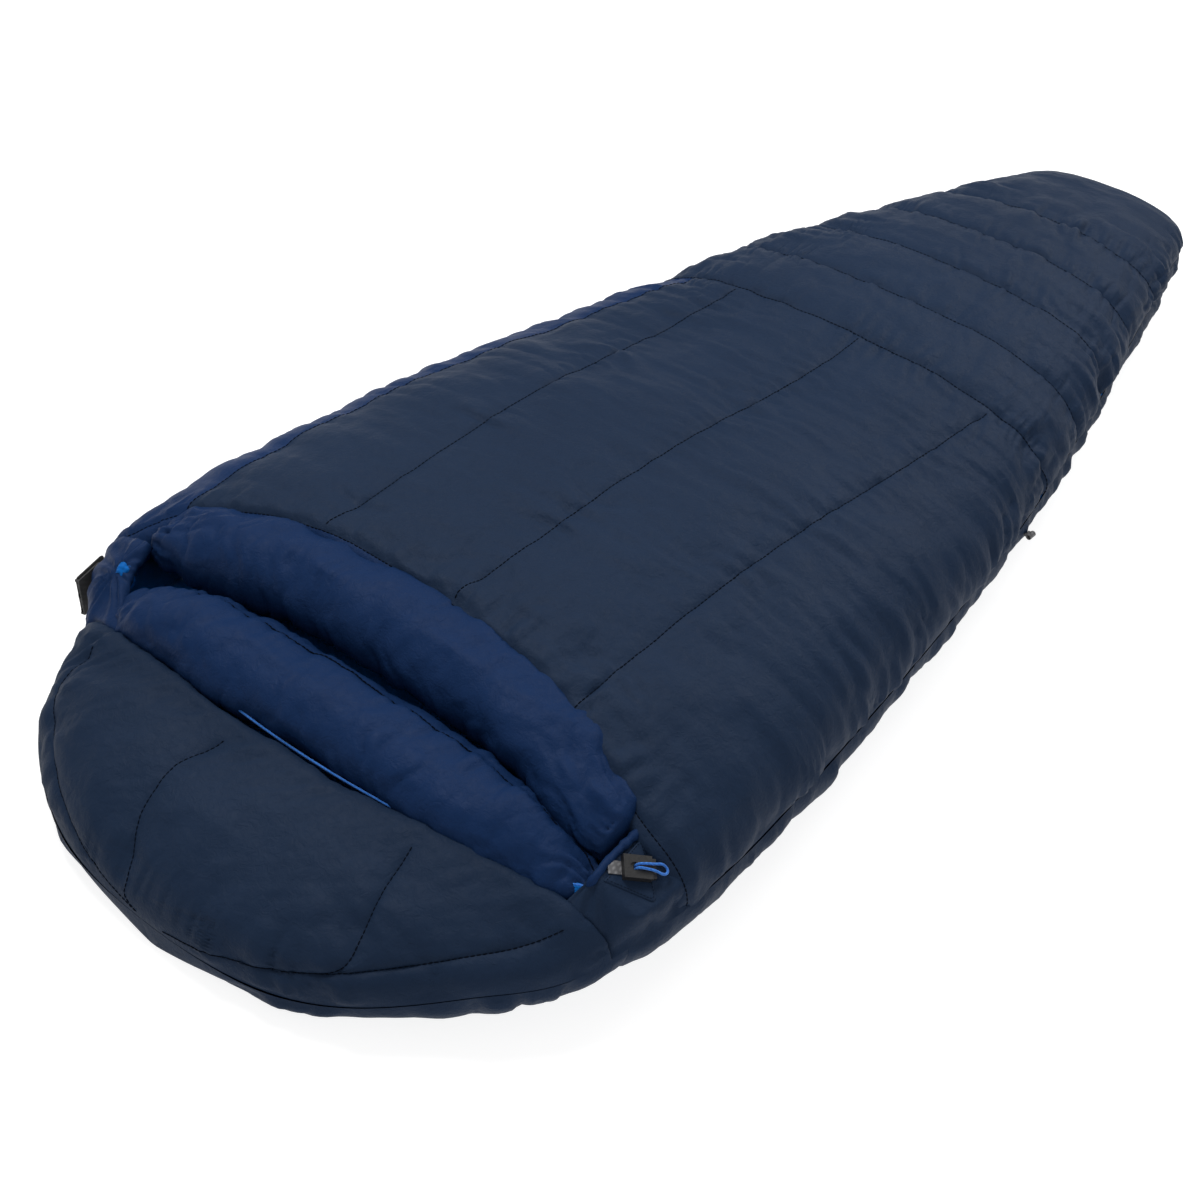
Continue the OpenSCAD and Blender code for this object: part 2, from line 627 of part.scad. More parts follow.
pull(upper_y, 1);  // upper_inner_pull
slider(lower_y, false);  // lower_slider
pull(lower_y, -1);  // lower_pull
garage_flap();
garage_pad();
cord_patch();
cord_lock_body();
cord_lock_button();
cord_lock_webbing();
hood_drawcord();
side_loops();
hang_loops();
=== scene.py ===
import json
import math
import bpy
import numpy as np
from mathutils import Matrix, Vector


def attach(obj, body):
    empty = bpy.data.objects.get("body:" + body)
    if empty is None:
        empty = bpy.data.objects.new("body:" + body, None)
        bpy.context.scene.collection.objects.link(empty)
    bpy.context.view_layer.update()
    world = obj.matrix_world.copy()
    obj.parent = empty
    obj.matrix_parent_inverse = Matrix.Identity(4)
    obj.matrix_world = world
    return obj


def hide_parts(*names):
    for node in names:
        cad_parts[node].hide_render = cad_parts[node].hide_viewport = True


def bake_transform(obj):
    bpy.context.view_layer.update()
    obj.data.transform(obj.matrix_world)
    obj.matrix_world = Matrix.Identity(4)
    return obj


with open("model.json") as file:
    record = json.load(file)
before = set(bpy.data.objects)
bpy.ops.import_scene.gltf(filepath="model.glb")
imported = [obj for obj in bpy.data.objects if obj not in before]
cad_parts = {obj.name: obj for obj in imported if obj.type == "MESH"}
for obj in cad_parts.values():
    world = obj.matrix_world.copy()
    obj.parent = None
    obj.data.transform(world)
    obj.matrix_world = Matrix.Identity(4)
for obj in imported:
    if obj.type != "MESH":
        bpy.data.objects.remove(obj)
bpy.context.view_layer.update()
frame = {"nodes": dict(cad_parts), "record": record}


# ---------------------------------------------------------------- camera, light and floor

CAMERA_PLACE = (1.545, -2.016, 1.966)
CAMERA_YAW = math.radians(41.46)
CAMERA_PITCH = math.radians(39.62)
CAMERA_LENS = 67.02
SENSOR_WIDTH = 36.0
WORLD_LIGHT = 0.42
FLOOR_REACH = 40


def link(obj):
    bpy.context.scene.collection.objects.link(obj)
    return obj


def aim(obj, place, ahead):
    """Puts a camera or a light at a place, facing along a direction."""
    obj.location = place
    obj.rotation_euler = ahead.to_track_quat("-Z", "Y").to_euler()


def make_camera():
    data = bpy.data.cameras.new("camera")
    data.lens, data.sensor_width, data.clip_end = CAMERA_LENS, SENSOR_WIDTH, 50.0
    obj = link(bpy.data.objects.new("camera", data))
    level = math.cos(CAMERA_PITCH)
    ahead = (-math.sin(CAMERA_YAW) * level, math.cos(CAMERA_YAW) * level, -math.sin(CAMERA_PITCH))
    aim(obj, CAMERA_PLACE, Vector(ahead))
    bpy.context.scene.camera = obj


def area_light(name, place, target, size, power):
    data = bpy.data.lights.new(name, "AREA")
    data.shape, data.size, data.energy = "DISK", size, power
    aim(link(bpy.data.objects.new(name, data)), place, Vector(target) - Vector(place))


make_camera()
area_light("key", (-1.3, -0.2, 3.3), (0, 0, 0.1), 1.5, 92)
area_light("fill", (3.0, -1.6, 2.2), (0, 0, 0.1), 2.2, 16)
area_light("back", (0.2, 3.2, 2.6), (0, 0.3, 0.1), 1.8, 75)

world = bpy.data.worlds.new("studio")
world.use_nodes = True
world.node_tree.nodes["Background"].inputs["Color"].default_value = (1, 1, 1, 1)
world.node_tree.nodes["Background"].inputs["Strength"].default_value = WORLD_LIGHT
bpy.context.scene.world = world
bpy.context.scene.view_settings.view_transform = "Standard"


# ---------------------------------------------------------------- noise

def lattice(ix, iy, iz, seed):
    h = (ix * 374761393 + iy * 668265263 + iz * 2147483647 + seed * 1274126177) & 0xFFFFFFFF
    h = ((h ^ (h >> 13)) * 1274126177) & 0xFFFFFFFF
    return ((h ^ (h >> 16)) & 0xFFFF) / 32767.5 - 1.0


def noise(x, y, z=0.0, seed=0):
    """Smooth noise from -1 to 1 at points given as arrays."""
    x, y, z = np.broadcast_arrays(np.asarray(x, float), np.asarray(y, float), np.asarray(z, float))
    ix, iy, iz = (np.floor(v).astype(np.int64) for v in (x, y, z))
    fx, fy, fz = x - ix, y - iy, z - iz
    fx, fy, fz = (f * f * f * (f * (6 * f - 15) + 10) for f in (fx, fy, fz))
    total = 0.0
    for dx in (0, 1):
        for dy in (0, 1):
            for dz in (0, 1):
                w = (fx if dx else 1 - fx) * (fy if dy else 1 - fy) * (fz if dz else 1 - fz)
                total = total + w * lattice(ix + dx, iy + dy, iz + dz, seed)
    return total


def layers(x, y, z=0.0, seed=0, n=3):
    return sum(noise(x * 2**k, y * 2**k, np.asarray(z) * 2**k, seed + 17 * k) * 0.5**k for k in range(n))


# ---------------------------------------------------------------- the bag's shape, as in the CAD

FOOT_END = 2.1
HALF = FOOT_END / 2
SEAM_H = 0.095
HOOD_SEAM_H = 0.075
CROWN_SEAM_H = 0.034
FOOT_SEAM_DROP = 0.016
# Half width and height against distance from the crown, before the two ends round off
W_AT = np.array([[0, 478], [336, 491], [525, 490], [798, 457], [1092, 409], [1386, 344], [1680, 264],
                 [1932, 189], [2047, 155], [2200, 114]], float) / 1000
H_AT = np.array([[0, 157], [210, 165], [330, 200], [430, 235], [525, 254], [840, 260], [1155, 228],
                 [1470, 215], [1785, 184], [2000, 142], [2200, 96]], float) / 1000
ROUNDNESS = 0.74
# The shell's left edge stays this far above the base's rim, where the zip lies between them
ZIP_ROOM = 0.0064
TRACK_Y0, TRACK_X0, TRACK_SLOPE, ZIP_LEN = 0.352, 0.478, 0.150, 1.150
QUILT_T, HOOD_T = 0.034, 0.028


def curve(tab, y):
    """Smooth curve through a table of points."""
    y = np.asarray(y, float)
    px, py = tab[:, 0], tab[:, 1]
    m = np.empty(len(px))
    m[1:-1] = (py[2:] - py[:-2]) / (px[2:] - px[:-2])
    m[0], m[-1] = (py[1] - py[0]) / (px[1] - px[0]), (py[-1] - py[-2]) / (px[-1] - px[-2])
    i = np.clip(np.searchsorted(px, y, side="right") - 1, 0, len(px) - 2)
    h = px[i + 1] - px[i]
    t = (y - px[i]) / h
    return ((2*t**3 - 3*t**2 + 1) * py[i] + (t**3 - 2*t**2 + t) * h * m[i]
            + (3*t**2 - 2*t**3) * py[i + 1] + (t**3 - t**2) * h * m[i + 1])


def smooth(t):
    t = np.clip(t, 0, 1)
    return t * t * (3 - 2 * t)


def share(y, d=0.0):
    """How much of its full width the bag has at y, as its two ends round off."""
    u = np.clip((y - d) / 0.4, 0, 1)
    head = np.sqrt(np.clip(1 - (1 - u)**2, 0, 1))
    v = np.clip((FOOT_END - d - y) / 0.09, 0, 1)
    return head * np.clip(1 - (1 - v)**3, 0, 1)**(1 / 3)


def half_w(y, d=0.0):
    return (curve(W_AT, y) - d) * share(y, d)


def base_top(y):
    """Height of the side seam, where the top of the bag meets the base."""
    head = CROWN_SEAM_H + (HOOD_SEAM_H - CROWN_SEAM_H) * smooth(y / 0.17)
    body = (SEAM_H - HOOD_SEAM_H) * smooth((y - 0.2) / 0.15)
    return head + body - FOOT_SEAM_DROP * smooth((y - 1.66) / 0.4)


def in_zip(y):
    return smooth((y - TRACK_Y0 + 0.03) / 0.02) * smooth((TRACK_Y0 + ZIP_LEN + 0.045 - y) / 0.02)


# Sideways shift of each side in millimetres against y, towards +X
LEFT_IN = np.array([[0.0, 4], [0.04, -20], [0.09, -16], [0.13, 4], [0.16, 26], [0.20, 44], [0.240, 42],
                    [0.285, 4], [0.34, -2], [0.45, 4], [0.6, 12], [1.1, 13], [1.45, 2], [2.1, 0]])
RIGHT_IN = np.array([[0.0, 0], [0.10, 4], [0.18, 4], [0.34, -6], [0.60, -9], [1.0, -5], [1.3, 0], [2.1, 0]])


def drawn_in(y, x):
    """Sideways shift that the stuffing gives the outline: the neck is tied in, the crown swells."""
    w = np.clip(np.abs(x) / 0.45, 0, 1.1)**2
    y = np.asarray(y, float)
    left, right = (sum(np.interp(y + k, t[:, 0], t[:, 1]) for k in (-0.02, 0, 0.02)) / 3000
                   for t in (LEFT_IN, RIGHT_IN))
    return np.where(x > 0, right, left) * w


def along(y, x):
    """Frame Y of a row: the crown swells a little past the seam line, most on its two sides."""
    swell = 0.002 + 0.012 * smooth(x / 0.30) + 0.008 * smooth(-x / 0.20)
    return y - HALF - swell * (1 - smooth(np.asarray(y, float) / 0.16))


def dome(y, a, d=0.0):
    """Point of the top at distance y from the crown and angle a in radians, d below the outside."""
    y, a, d = np.broadcast_arrays(np.asarray(y, float), np.asarray(a, float), np.asarray(d, float))
    c, s = np.cos(a), np.clip(np.sin(a), 0, 1)
    sh = share(y, d)
    x = (curve(W_AT, y) - d) * sh * np.sign(c) * np.abs(c)**ROUNDNESS
    low = base_top(y) + 0.0006 + np.where(a > math.pi / 2, ZIP_ROOM * in_zip(y) * (1 - s**ROUNDNESS), 0)
    z = low + (curve(H_AT, y) - d - base_top(y)) * sh**0.8 * s**ROUNDNESS
    return np.stack([x + drawn_in(y, x), along(y, x), z], -1)


class Arc:
    """Places on the top, d below the outside, by their share of the arc from the right seam to the left."""

    STEPS = 300

    def __init__(self, y0, y1, d, n=120, m=241):
        self.y = np.linspace(y0, y1, n)
        t = np.linspace(-1, 1, m)
        a = math.pi / 2 - math.pi / 2 * np.sign(-t) * (1 - (1 - np.abs(t))**1.35)
        p = dome(self.y[:, None], a[None, :], d)
        step = np.linalg.norm(np.diff(p, axis=1), axis=2)
        s = np.concatenate([np.zeros((n, 1)), np.cumsum(step, 1)], 1)
        self.length = s[:, -1]
        self.table = np.array([np.interp(np.linspace(0, 1, self.STEPS + 1), row / row[-1], a) for row in s])
        self.xs = [(x[::-1], (row / row[-1])[::-1]) for x, row in zip(p[:, :, 0], s)]

    def row_at(self, y):
        return np.clip((y - self.y[0]) / (self.y[-1] - self.y[0]), 0, 1) * (len(self.y) - 1)

    def angle(self, y, u):
        """Angle, as dome() takes it, at share u of the arc."""
        fy, fu = self.row_at(y), np.clip(u, 0, 1) * self.STEPS
        iy, iu = np.minimum(fy.astype(int), len(self.y) - 2), np.minimum(fu.astype(int), self.STEPS - 1)
        ty, tu = fy - iy, fu - iu
        g = self.table
        return ((1 - ty) * ((1 - tu) * g[iy, iu] + tu * g[iy, iu + 1])
                + ty * ((1 - tu) * g[iy + 1, iu] + tu * g[iy + 1, iu + 1]))

    def fraction(self, y, x):
        """Share of the arc at which the surface passes over x, for arrays y and x."""
        fy = self.row_at(y)
        out = np.empty(np.shape(y))
        for k in np.ndindex(np.shape(y)):
            i = min(int(fy[k]), len(self.y) - 2)
            t = fy[k] - i
            out[k] = (1 - t) * np.interp(x[k], *self.xs[i]) + t * np.interp(x[k], *self.xs[i + 1])
        return out

    def length_at(self, y):
        return np.interp(y, self.y, self.length)


# ---------------------------------------------------------------- meshes

def grid_faces(rows, cols, flip=False, wrap=False):
    i, j = np.meshgrid(np.arange(rows - 1), np.arange(cols if wrap else cols - 1), indexing="ij")
    j2 = (j + 1) % cols
    f = np.stack([i * cols + j, i * cols + j2, (i + 1) * cols + j2, (i + 1) * cols + j], -1).reshape(-1, 4)
    return (f[:, ::-1] if flip else f).tolist()


def ring_faces(rows, cols, flip=False):
    """Faces of a row of rings, with a face over each end."""
    ends = [list(range(cols))[::-1], [(rows - 1) * cols + k for k in range(cols)]]
    return grid_faces(rows, cols, flip, wrap=True) + [end[::-1] if flip else end for end in ends]


def end_face(rows, cols, first, flip=False):
    """Closes the open row at one end of a grid."""
    face = [j if first else (rows - 1) * cols + j for j in range(cols)]
    return [face[::-1] if first != flip else face]


def mesh_object(name, verts, faces, material):
    me = bpy.data.meshes.new(name)
    me.from_pydata(np.asarray(verts, float).reshape(-1, 3).tolist(), [], [list(map(int, f)) for f in faces])
    me.update()
    me.polygons.foreach_set("use_smooth", [True] * len(me.polygons))
    me.materials.append(material)
    return link(bpy.data.objects.new(name, me))


def normals_of(p):
    """Unit normals of a grid of points, rows by columns."""
    n = np.cross(np.gradient(p, axis=0), np.gradient(p, axis=1))
    return n / np.maximum(np.linalg.norm(n, axis=2, keepdims=True), 1e-9)


def outward(p, centre):
    """Unit normals of a grid of points, turned away from a point inside it."""
    n = normals_of(p)
    side = np.sign(np.sum(n * (p - np.array(centre)), 2, keepdims=True))
    side[side == 0] = 1
    return n * side


def tube(path, r, sides=8, scale=1.0):
    """Vertices and faces of a tube along a path of points; scale widens it point by point."""
    p = np.asarray(path, float)
    n = len(p)
    d = np.gradient(p, axis=0)
    d /= np.maximum(np.linalg.norm(d, axis=1, keepdims=True), 1e-9)
    u = np.array([0.31, 0.42, 0.85])
    across = []
    for k in range(n):
        u = u - (u @ d[k]) * d[k]
        u /= np.linalg.norm(u)
        across.append(u.copy())
    across = np.array(across)
    other = np.cross(d, across)
    a = np.linspace(0, 2 * math.pi, sides, endpoint=False)
    rad = r * np.broadcast_to(np.asarray(scale, float), (n,))
    ring = (across[:, None, :] * np.cos(a)[None, :, None] + other[:, None, :] * np.sin(a)[None, :, None])
    return (p[:, None, :] + ring * rad[:, None, None]).reshape(-1, 3), ring_faces(n, sides)


class Bits:
    """Gathers many small shapes into one mesh."""

    def __init__(self):
        self.v, self.f, self.n = [], [], 0

    def add(self, v, f):
        self.v.append(np.asarray(v, float))
        self.f.extend([[int(i) + self.n for i in face] for face in f])
        self.n += len(v)

    def sew(self, name, body):
        """Makes the gathered stitches a piece."""
        piece(name, np.concatenate(self.v), self.f, None, body)


def lengths(p):
    """Distance along a line of points, from its start to each point."""
    return np.concatenate([[0], np.cumsum(np.linalg.norm(np.diff(p, axis=0), axis=1))])


def points_at(t, s, p):
    return np.stack([np.interp(t, s, p[:, k]) for k in range(3)], 1)


def resample(p, step):
    p = np.asarray(p, float)
    s = lengths(p)
    return points_at(np.linspace(0, s[-1], max(2, int(s[-1] / step) + 1)), s, p)


def rounded(p, times=2):
    """Cuts the corners of a line, as often as it is told."""
    p = np.asarray(p, float)
    for _ in range(times):
        q = np.empty((2 * len(p) - 2, 3))
        q[0::2] = 0.75 * p[:-1] + 0.25 * p[1:]
        q[1::2] = 0.25 * p[:-1] + 0.75 * p[1:]
        p = np.concatenate([p[:1], q, p[-1:]])
    return p


# A stitch dips into the cloth at its two ends
STITCH_ALONG = np.array([0, 0.2, 0.5, 0.8, 1.0])
STITCH_UP = np.array([-0.0004, 0.0003, 0.0005, 0.0003, -0.0004])


def stitches(bits, line, normal, length, gap, r):
    """A row of sewn stitches along a line on a surface."""
    s = lengths(line)
    for k in range(int((s[-1] - gap) / (length + gap))):
        t = STITCH_ALONG * length + k * (length + gap)
        bits.add(*tube(points_at(t, s, line) + points_at(t, s, normal) * STITCH_UP[:, None], r, 5))


# ---------------------------------------------------------------- materials

class Finish:
    """A material's node tree, built node by node."""

    def __init__(self, name):
        self.material = bpy.data.materials.new(name)
        self.material.use_nodes = True
        self.tree = self.material.node_tree
        self.shader = self.tree.nodes["Principled BSDF"]
        self.coords = self.tree.nodes.new("ShaderNodeTexCoord").outputs["Object"]

    def set(self, node, inputs):
        """Gives a node its inputs: a number, a colour, or another node's output to link."""
        for key, value in inputs.items():
            if isinstance(value, bpy.types.NodeSocket):
                self.tree.links.new(value, node.inputs[key])
            else:
                node.inputs[key].default_value = value

    def add(self, kind, inputs, output, **settings):
        node = self.tree.nodes.new("ShaderNode" + kind)
        for key, value in settings.items():
            setattr(node, key, value)
        self.set(node, inputs)
        return node.outputs[output]

    def noise(self, size, detail, roughness=0.5, distort=0.0):
        return self.add("TexNoise", {"Scale": size, "Detail": detail, "Roughness": roughness,
                                     "Distortion": distort, "Vector": self.coords}, "Fac")

    def wave(self, axis, size, distort, detail):
        return self.add("TexWave", {"Scale": size, "Distortion": distort, "Detail": detail,
                                    "Vector": self.coords}, "Fac", wave_type="BANDS", bands_direction=axis)

    def times(self, a, b):
        return self.add("Math", {0: a, 1: b}, 0, operation="MULTIPLY")

    def between(self, value, low, high):
        return self.add("MapRange", {"Value": value, "To Min": low, "To Max": high}, "Result")

    def bump(self, height, strength, depth, under=None):
        inputs = {"Height": height, "Strength": strength, "Distance": depth}
        if under is not None:
            inputs["Normal"] = under
        return self.add("Bump", inputs, "Normal")

    def ramp(self, value, dark, light, ends=(0, 1)):
        node = self.tree.nodes.new("ShaderNodeValToRGB")
        for stop, colour, place in zip(node.color_ramp.elements, (dark, light), ends):
            stop.position, stop.color = place, (*colour, 1)
        self.set(node, {"Fac": value})
        return node.outputs["Color"]


def cloth_material(name, dark, light, rough=0.48, sheen=0.0, weave=0.0006):
    """Fine taffeta: tone that drifts slowly, crinkle at two sizes, and a plain weave."""
    m = Finish(name)
    fine = m.noise(38, 4, 0.6)
    drift = m.times(m.noise(3.5, 3), 0.65)
    light_share = m.add("Math", {0: fine, 1: 0.35, 2: drift}, 0, operation="MULTIPLY_ADD")
    tone = m.add("Mix", {"A": (*dark, 1), "B": (*light, 1), "Factor": light_share}, "Result",
                 data_type="RGBA")
    # Plain weave: two crossed wave patterns
    threads = m.times(*(m.wave(axis, 0.314 / weave / 3.14159, 0.6, 1.0) for axis in "XY"))
    grey = m.add("CombineColor", {0: threads, 1: threads, 2: threads}, 0)
    colour = m.add("Mix", {"A": tone, "B": grey, "Factor": 0.12}, "Result",
                   data_type="RGBA", blend_type="MULTIPLY")
    folds = m.bump(m.noise(34, 4, 0.55, 0.9), 0.32, 0.004)
    creases = m.bump(m.noise(85, 6, 0.66, 1.1), 0.75, 0.002, folds)
    m.set(m.shader, {"Sheen Weight": sheen, "Sheen Roughness": 0.45, "Sheen Tint": (0.75, 0.85, 1.0, 1),
                     "Specular IOR Level": 0.05, "Base Color": colour,
                     "Roughness": m.between(fine, rough - 0.07, rough + 0.09),
                     "Normal": m.bump(threads, 0.18, 0.0002, creases)})
    return m.material


def plain_material(name, dark, light, rough, grain, metallic=0.0, shine=0.5):
    """Moulded plastic, painted metal or thread: a fine grain with slight changes of tone and gloss."""
    m = Finish(name)
    n = m.noise(grain, 4)
    m.set(m.shader, {"Metallic": metallic, "Specular IOR Level": shine,
                     "Base Color": m.ramp(n, dark, light, (0.35, 0.68)),
                     "Roughness": m.between(n, rough - 0.08, rough + 0.1),
                     "Normal": m.bump(n, 0.25, 0.0003)})
    return m.material


def webbing_material(name, dark, light, pitch=0.0013):
    """Woven tape: ribs across the tape and a herringbone of finer threads."""
    m = Finish(name)
    weave = m.times(m.wave("DIAGONAL", 0.1 / pitch, 1.2, 2), m.wave("Z", 0.1 / (pitch * 0.6), 1.2, 2))
    m.set(m.shader, {"Sheen Weight": 0.2, "Base Color": m.ramp(weave, dark, light),
                     "Normal": m.bump(weave, 0.5, 0.0004), "Roughness": 0.75})
    return m.material


# Thread darker than the cloth: real stitches whose dark colour also paints the thin line of shade in the
# seams
THREAD_AND_SEAM_SHADE = plain_material("navy_thread_and_seam_shade", (0.002, 0.003, 0.006), (0.004, 0.006, 0.011), 0.8, 900, shine=0.02)
# One material for each of the record's slots
FINISHES = {
    "navy_shell": cloth_material("navy_taffeta", (0.0085, 0.0180, 0.040), (0.0145, 0.0285, 0.061), 0.50),
    "mid_blue_shell": cloth_material("mid_blue_taffeta", (0.0050, 0.0175, 0.058), (0.0085, 0.0280, 0.092)),
    "bright_blue_lining": cloth_material("bright_blue_lining", (0.003, 0.095, 0.36), (0.006, 0.14, 0.48)),
    "baffle_net": cloth_material("baffle_cloth", (0.06, 0.08, 0.12), (0.09, 0.11, 0.16), 0.7, 0.25, 0.001),
    "black_webbing": webbing_material("black_tape", (0.006, 0.006, 0.007), (0.017, 0.017, 0.019)),
    "grey_webbing": webbing_material("grey_tape", (0.07, 0.07, 0.075), (0.17, 0.17, 0.18)),
    "blue_cord": webbing_material("braided_cord", (0.003, 0.10, 0.42), (0.008, 0.18, 0.62), pitch=0.0009),
    "black_plastic": plain_material("black_plastic", (0.008, 0.008, 0.009), (0.014, 0.014, 0.015), 0.38, 420),
    "blue_plastic": plain_material("blue_plastic", (0.005, 0.10, 0.38), (0.009, 0.14, 0.48), 0.4, 420),
    "slider_metal": plain_material("painted_metal", (0.010, 0.010, 0.011), (0.022, 0.022, 0.024), 0.3, 600,
                                   metallic=0.6),
}


def piece(name, verts, faces, slot, body, replaces=(), fill=None):
    """A piece on a body, in the finish of one of the record's slots, or in thread where slot is None: a dark
    thread that also paints seam shade.
    """
    obj = mesh_object(name, verts, faces, FINISHES[slot] if slot else THREAD_AND_SEAM_SHADE)
    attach(obj, body)
    if replaces:
        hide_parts(*replaces)


# ---------------------------------------------------------------- quilting

def pillow(dist, valley, crown, reach):
    """Height of cloth at a distance from the nearest seam: a sharp valley that swells to a broad crown."""
    return -valley + (valley + crown) * (1 - np.exp(-(dist / reach)**0.75))


def puckers(along, dist, seed, size=0.016, depth=0.003, reach=0.035):
    """Small folds that run away from a seam and die out, with some longer than others."""
    warp = along + 0.012 * noise(along / 0.09, dist / 0.07, seed * 3.1, seed)
    n1 = noise(warp / size, dist / (size * 7), seed * 1.7, seed + 5)
    n2 = noise(warp / (size * 2.3), dist / (size * 9), seed * 0.9, seed + 9)
    n1, n2 = 1.7 * np.abs(n1)**0.7 - 0.8, 1.7 * np.abs(n2)**0.75 - 0.8
    vary = 0.55 + 0.65 * np.clip(noise(along / 0.10, 0.0, seed * 2.3, seed + 3) + 0.3, 0, 1)
    near = 1 - np.exp(-dist / 0.004)
    return depth * vary * near * (n1 * np.exp(-dist / reach) + 0.9 * n2 * np.exp(-dist / (reach * 2.2)))


def crumple(p, seed, size=0.11, depth=0.0035):
    """Soft dents and ridges that every lofted panel has."""
    n = layers(p[..., 0] / size, p[..., 1] / size, p[..., 2] / size, seed, 3)
    fine = noise(p[..., 0] / (size * 0.8), p[..., 1] / (size * 0.55), p[..., 2] / size, seed + 40)
    ridge = 1 - np.abs(fine) * 2
    return depth * (n + 0.45 * ridge)


# Front edge of the top quilt and rim of the hood, as y against x
EDGE_X = np.array([-0.50, -0.478, -0.445, -0.403, -0.281, -0.154, 0.041, 0.223, 0.355, 0.408, 0.50])
EDGE_Y = np.array([0.330, 0.338, 0.362, 0.400, 0.446, 0.463, 0.460, 0.436, 0.397, 0.378, 0.374])
RIM_X = np.array([-0.50, -0.403, -0.318, -0.212, -0.048, 0.081, 0.155, 0.228, 0.320, 0.387, 0.425, 0.50])
RIM_Y = np.array([0.268, 0.246, 0.233, 0.228, 0.220, 0.221, 0.231, 0.240, 0.256, 0.272, 0.286, 0.296])


def soft_interp(x, tab_x, tab_y):
    w = 0.03
    return sum(np.interp(x + k * w, tab_x, tab_y) for k in (-1, -0.5, 0, 0.5, 1)) / 5


SEAM_X = (-0.187, 0.038, 0.263)
SEAM_Y = (1.306, 1.440, 1.574, 1.708, 1.842)
STEP = 0.0055
SIDE_PANEL = 0.098
NOSE_ROWS = 7
MIDDLE = (0, 0, 0.02)


def edge_across(arc, y, u, d, tab_x, tab_y):
    """Front edge as a y for each column, which passes arc share u at y, and the columns' x there."""
    x = dome(y, arc.angle(np.full(len(u), y), u), d)[:, 0]
    return soft_interp(x, tab_x, tab_y), x


def columns(marks, total, least):
    """Columns between seams at given arc shares: each cell's count, then each column's cell and place."""
    counts = [max(least, int((b - a) * total / STEP)) for a, b in zip(marks[:-1], marks[1:])]
    cell = np.concatenate([np.full(n, k) for k, n in enumerate(counts)] + [[4]])
    frac = np.concatenate([np.arange(n) / n for n in counts] + [[1.0]])
    return counts, cell, frac


def from_seam_to_seam(Y, ys, seams, cell, frac):
    """Arc share of each point, with the seams' shares at ys given as columns."""
    low, high = np.zeros_like(Y), np.zeros_like(Y)
    for k in range(5):
        m = cell == k
        low[:, m] = np.interp(Y[:, m], ys, seams[:, k])
        high[:, m] = np.interp(Y[:, m], ys, seams[:, k + 1])
    return low + (high - low) * frac[None, :]


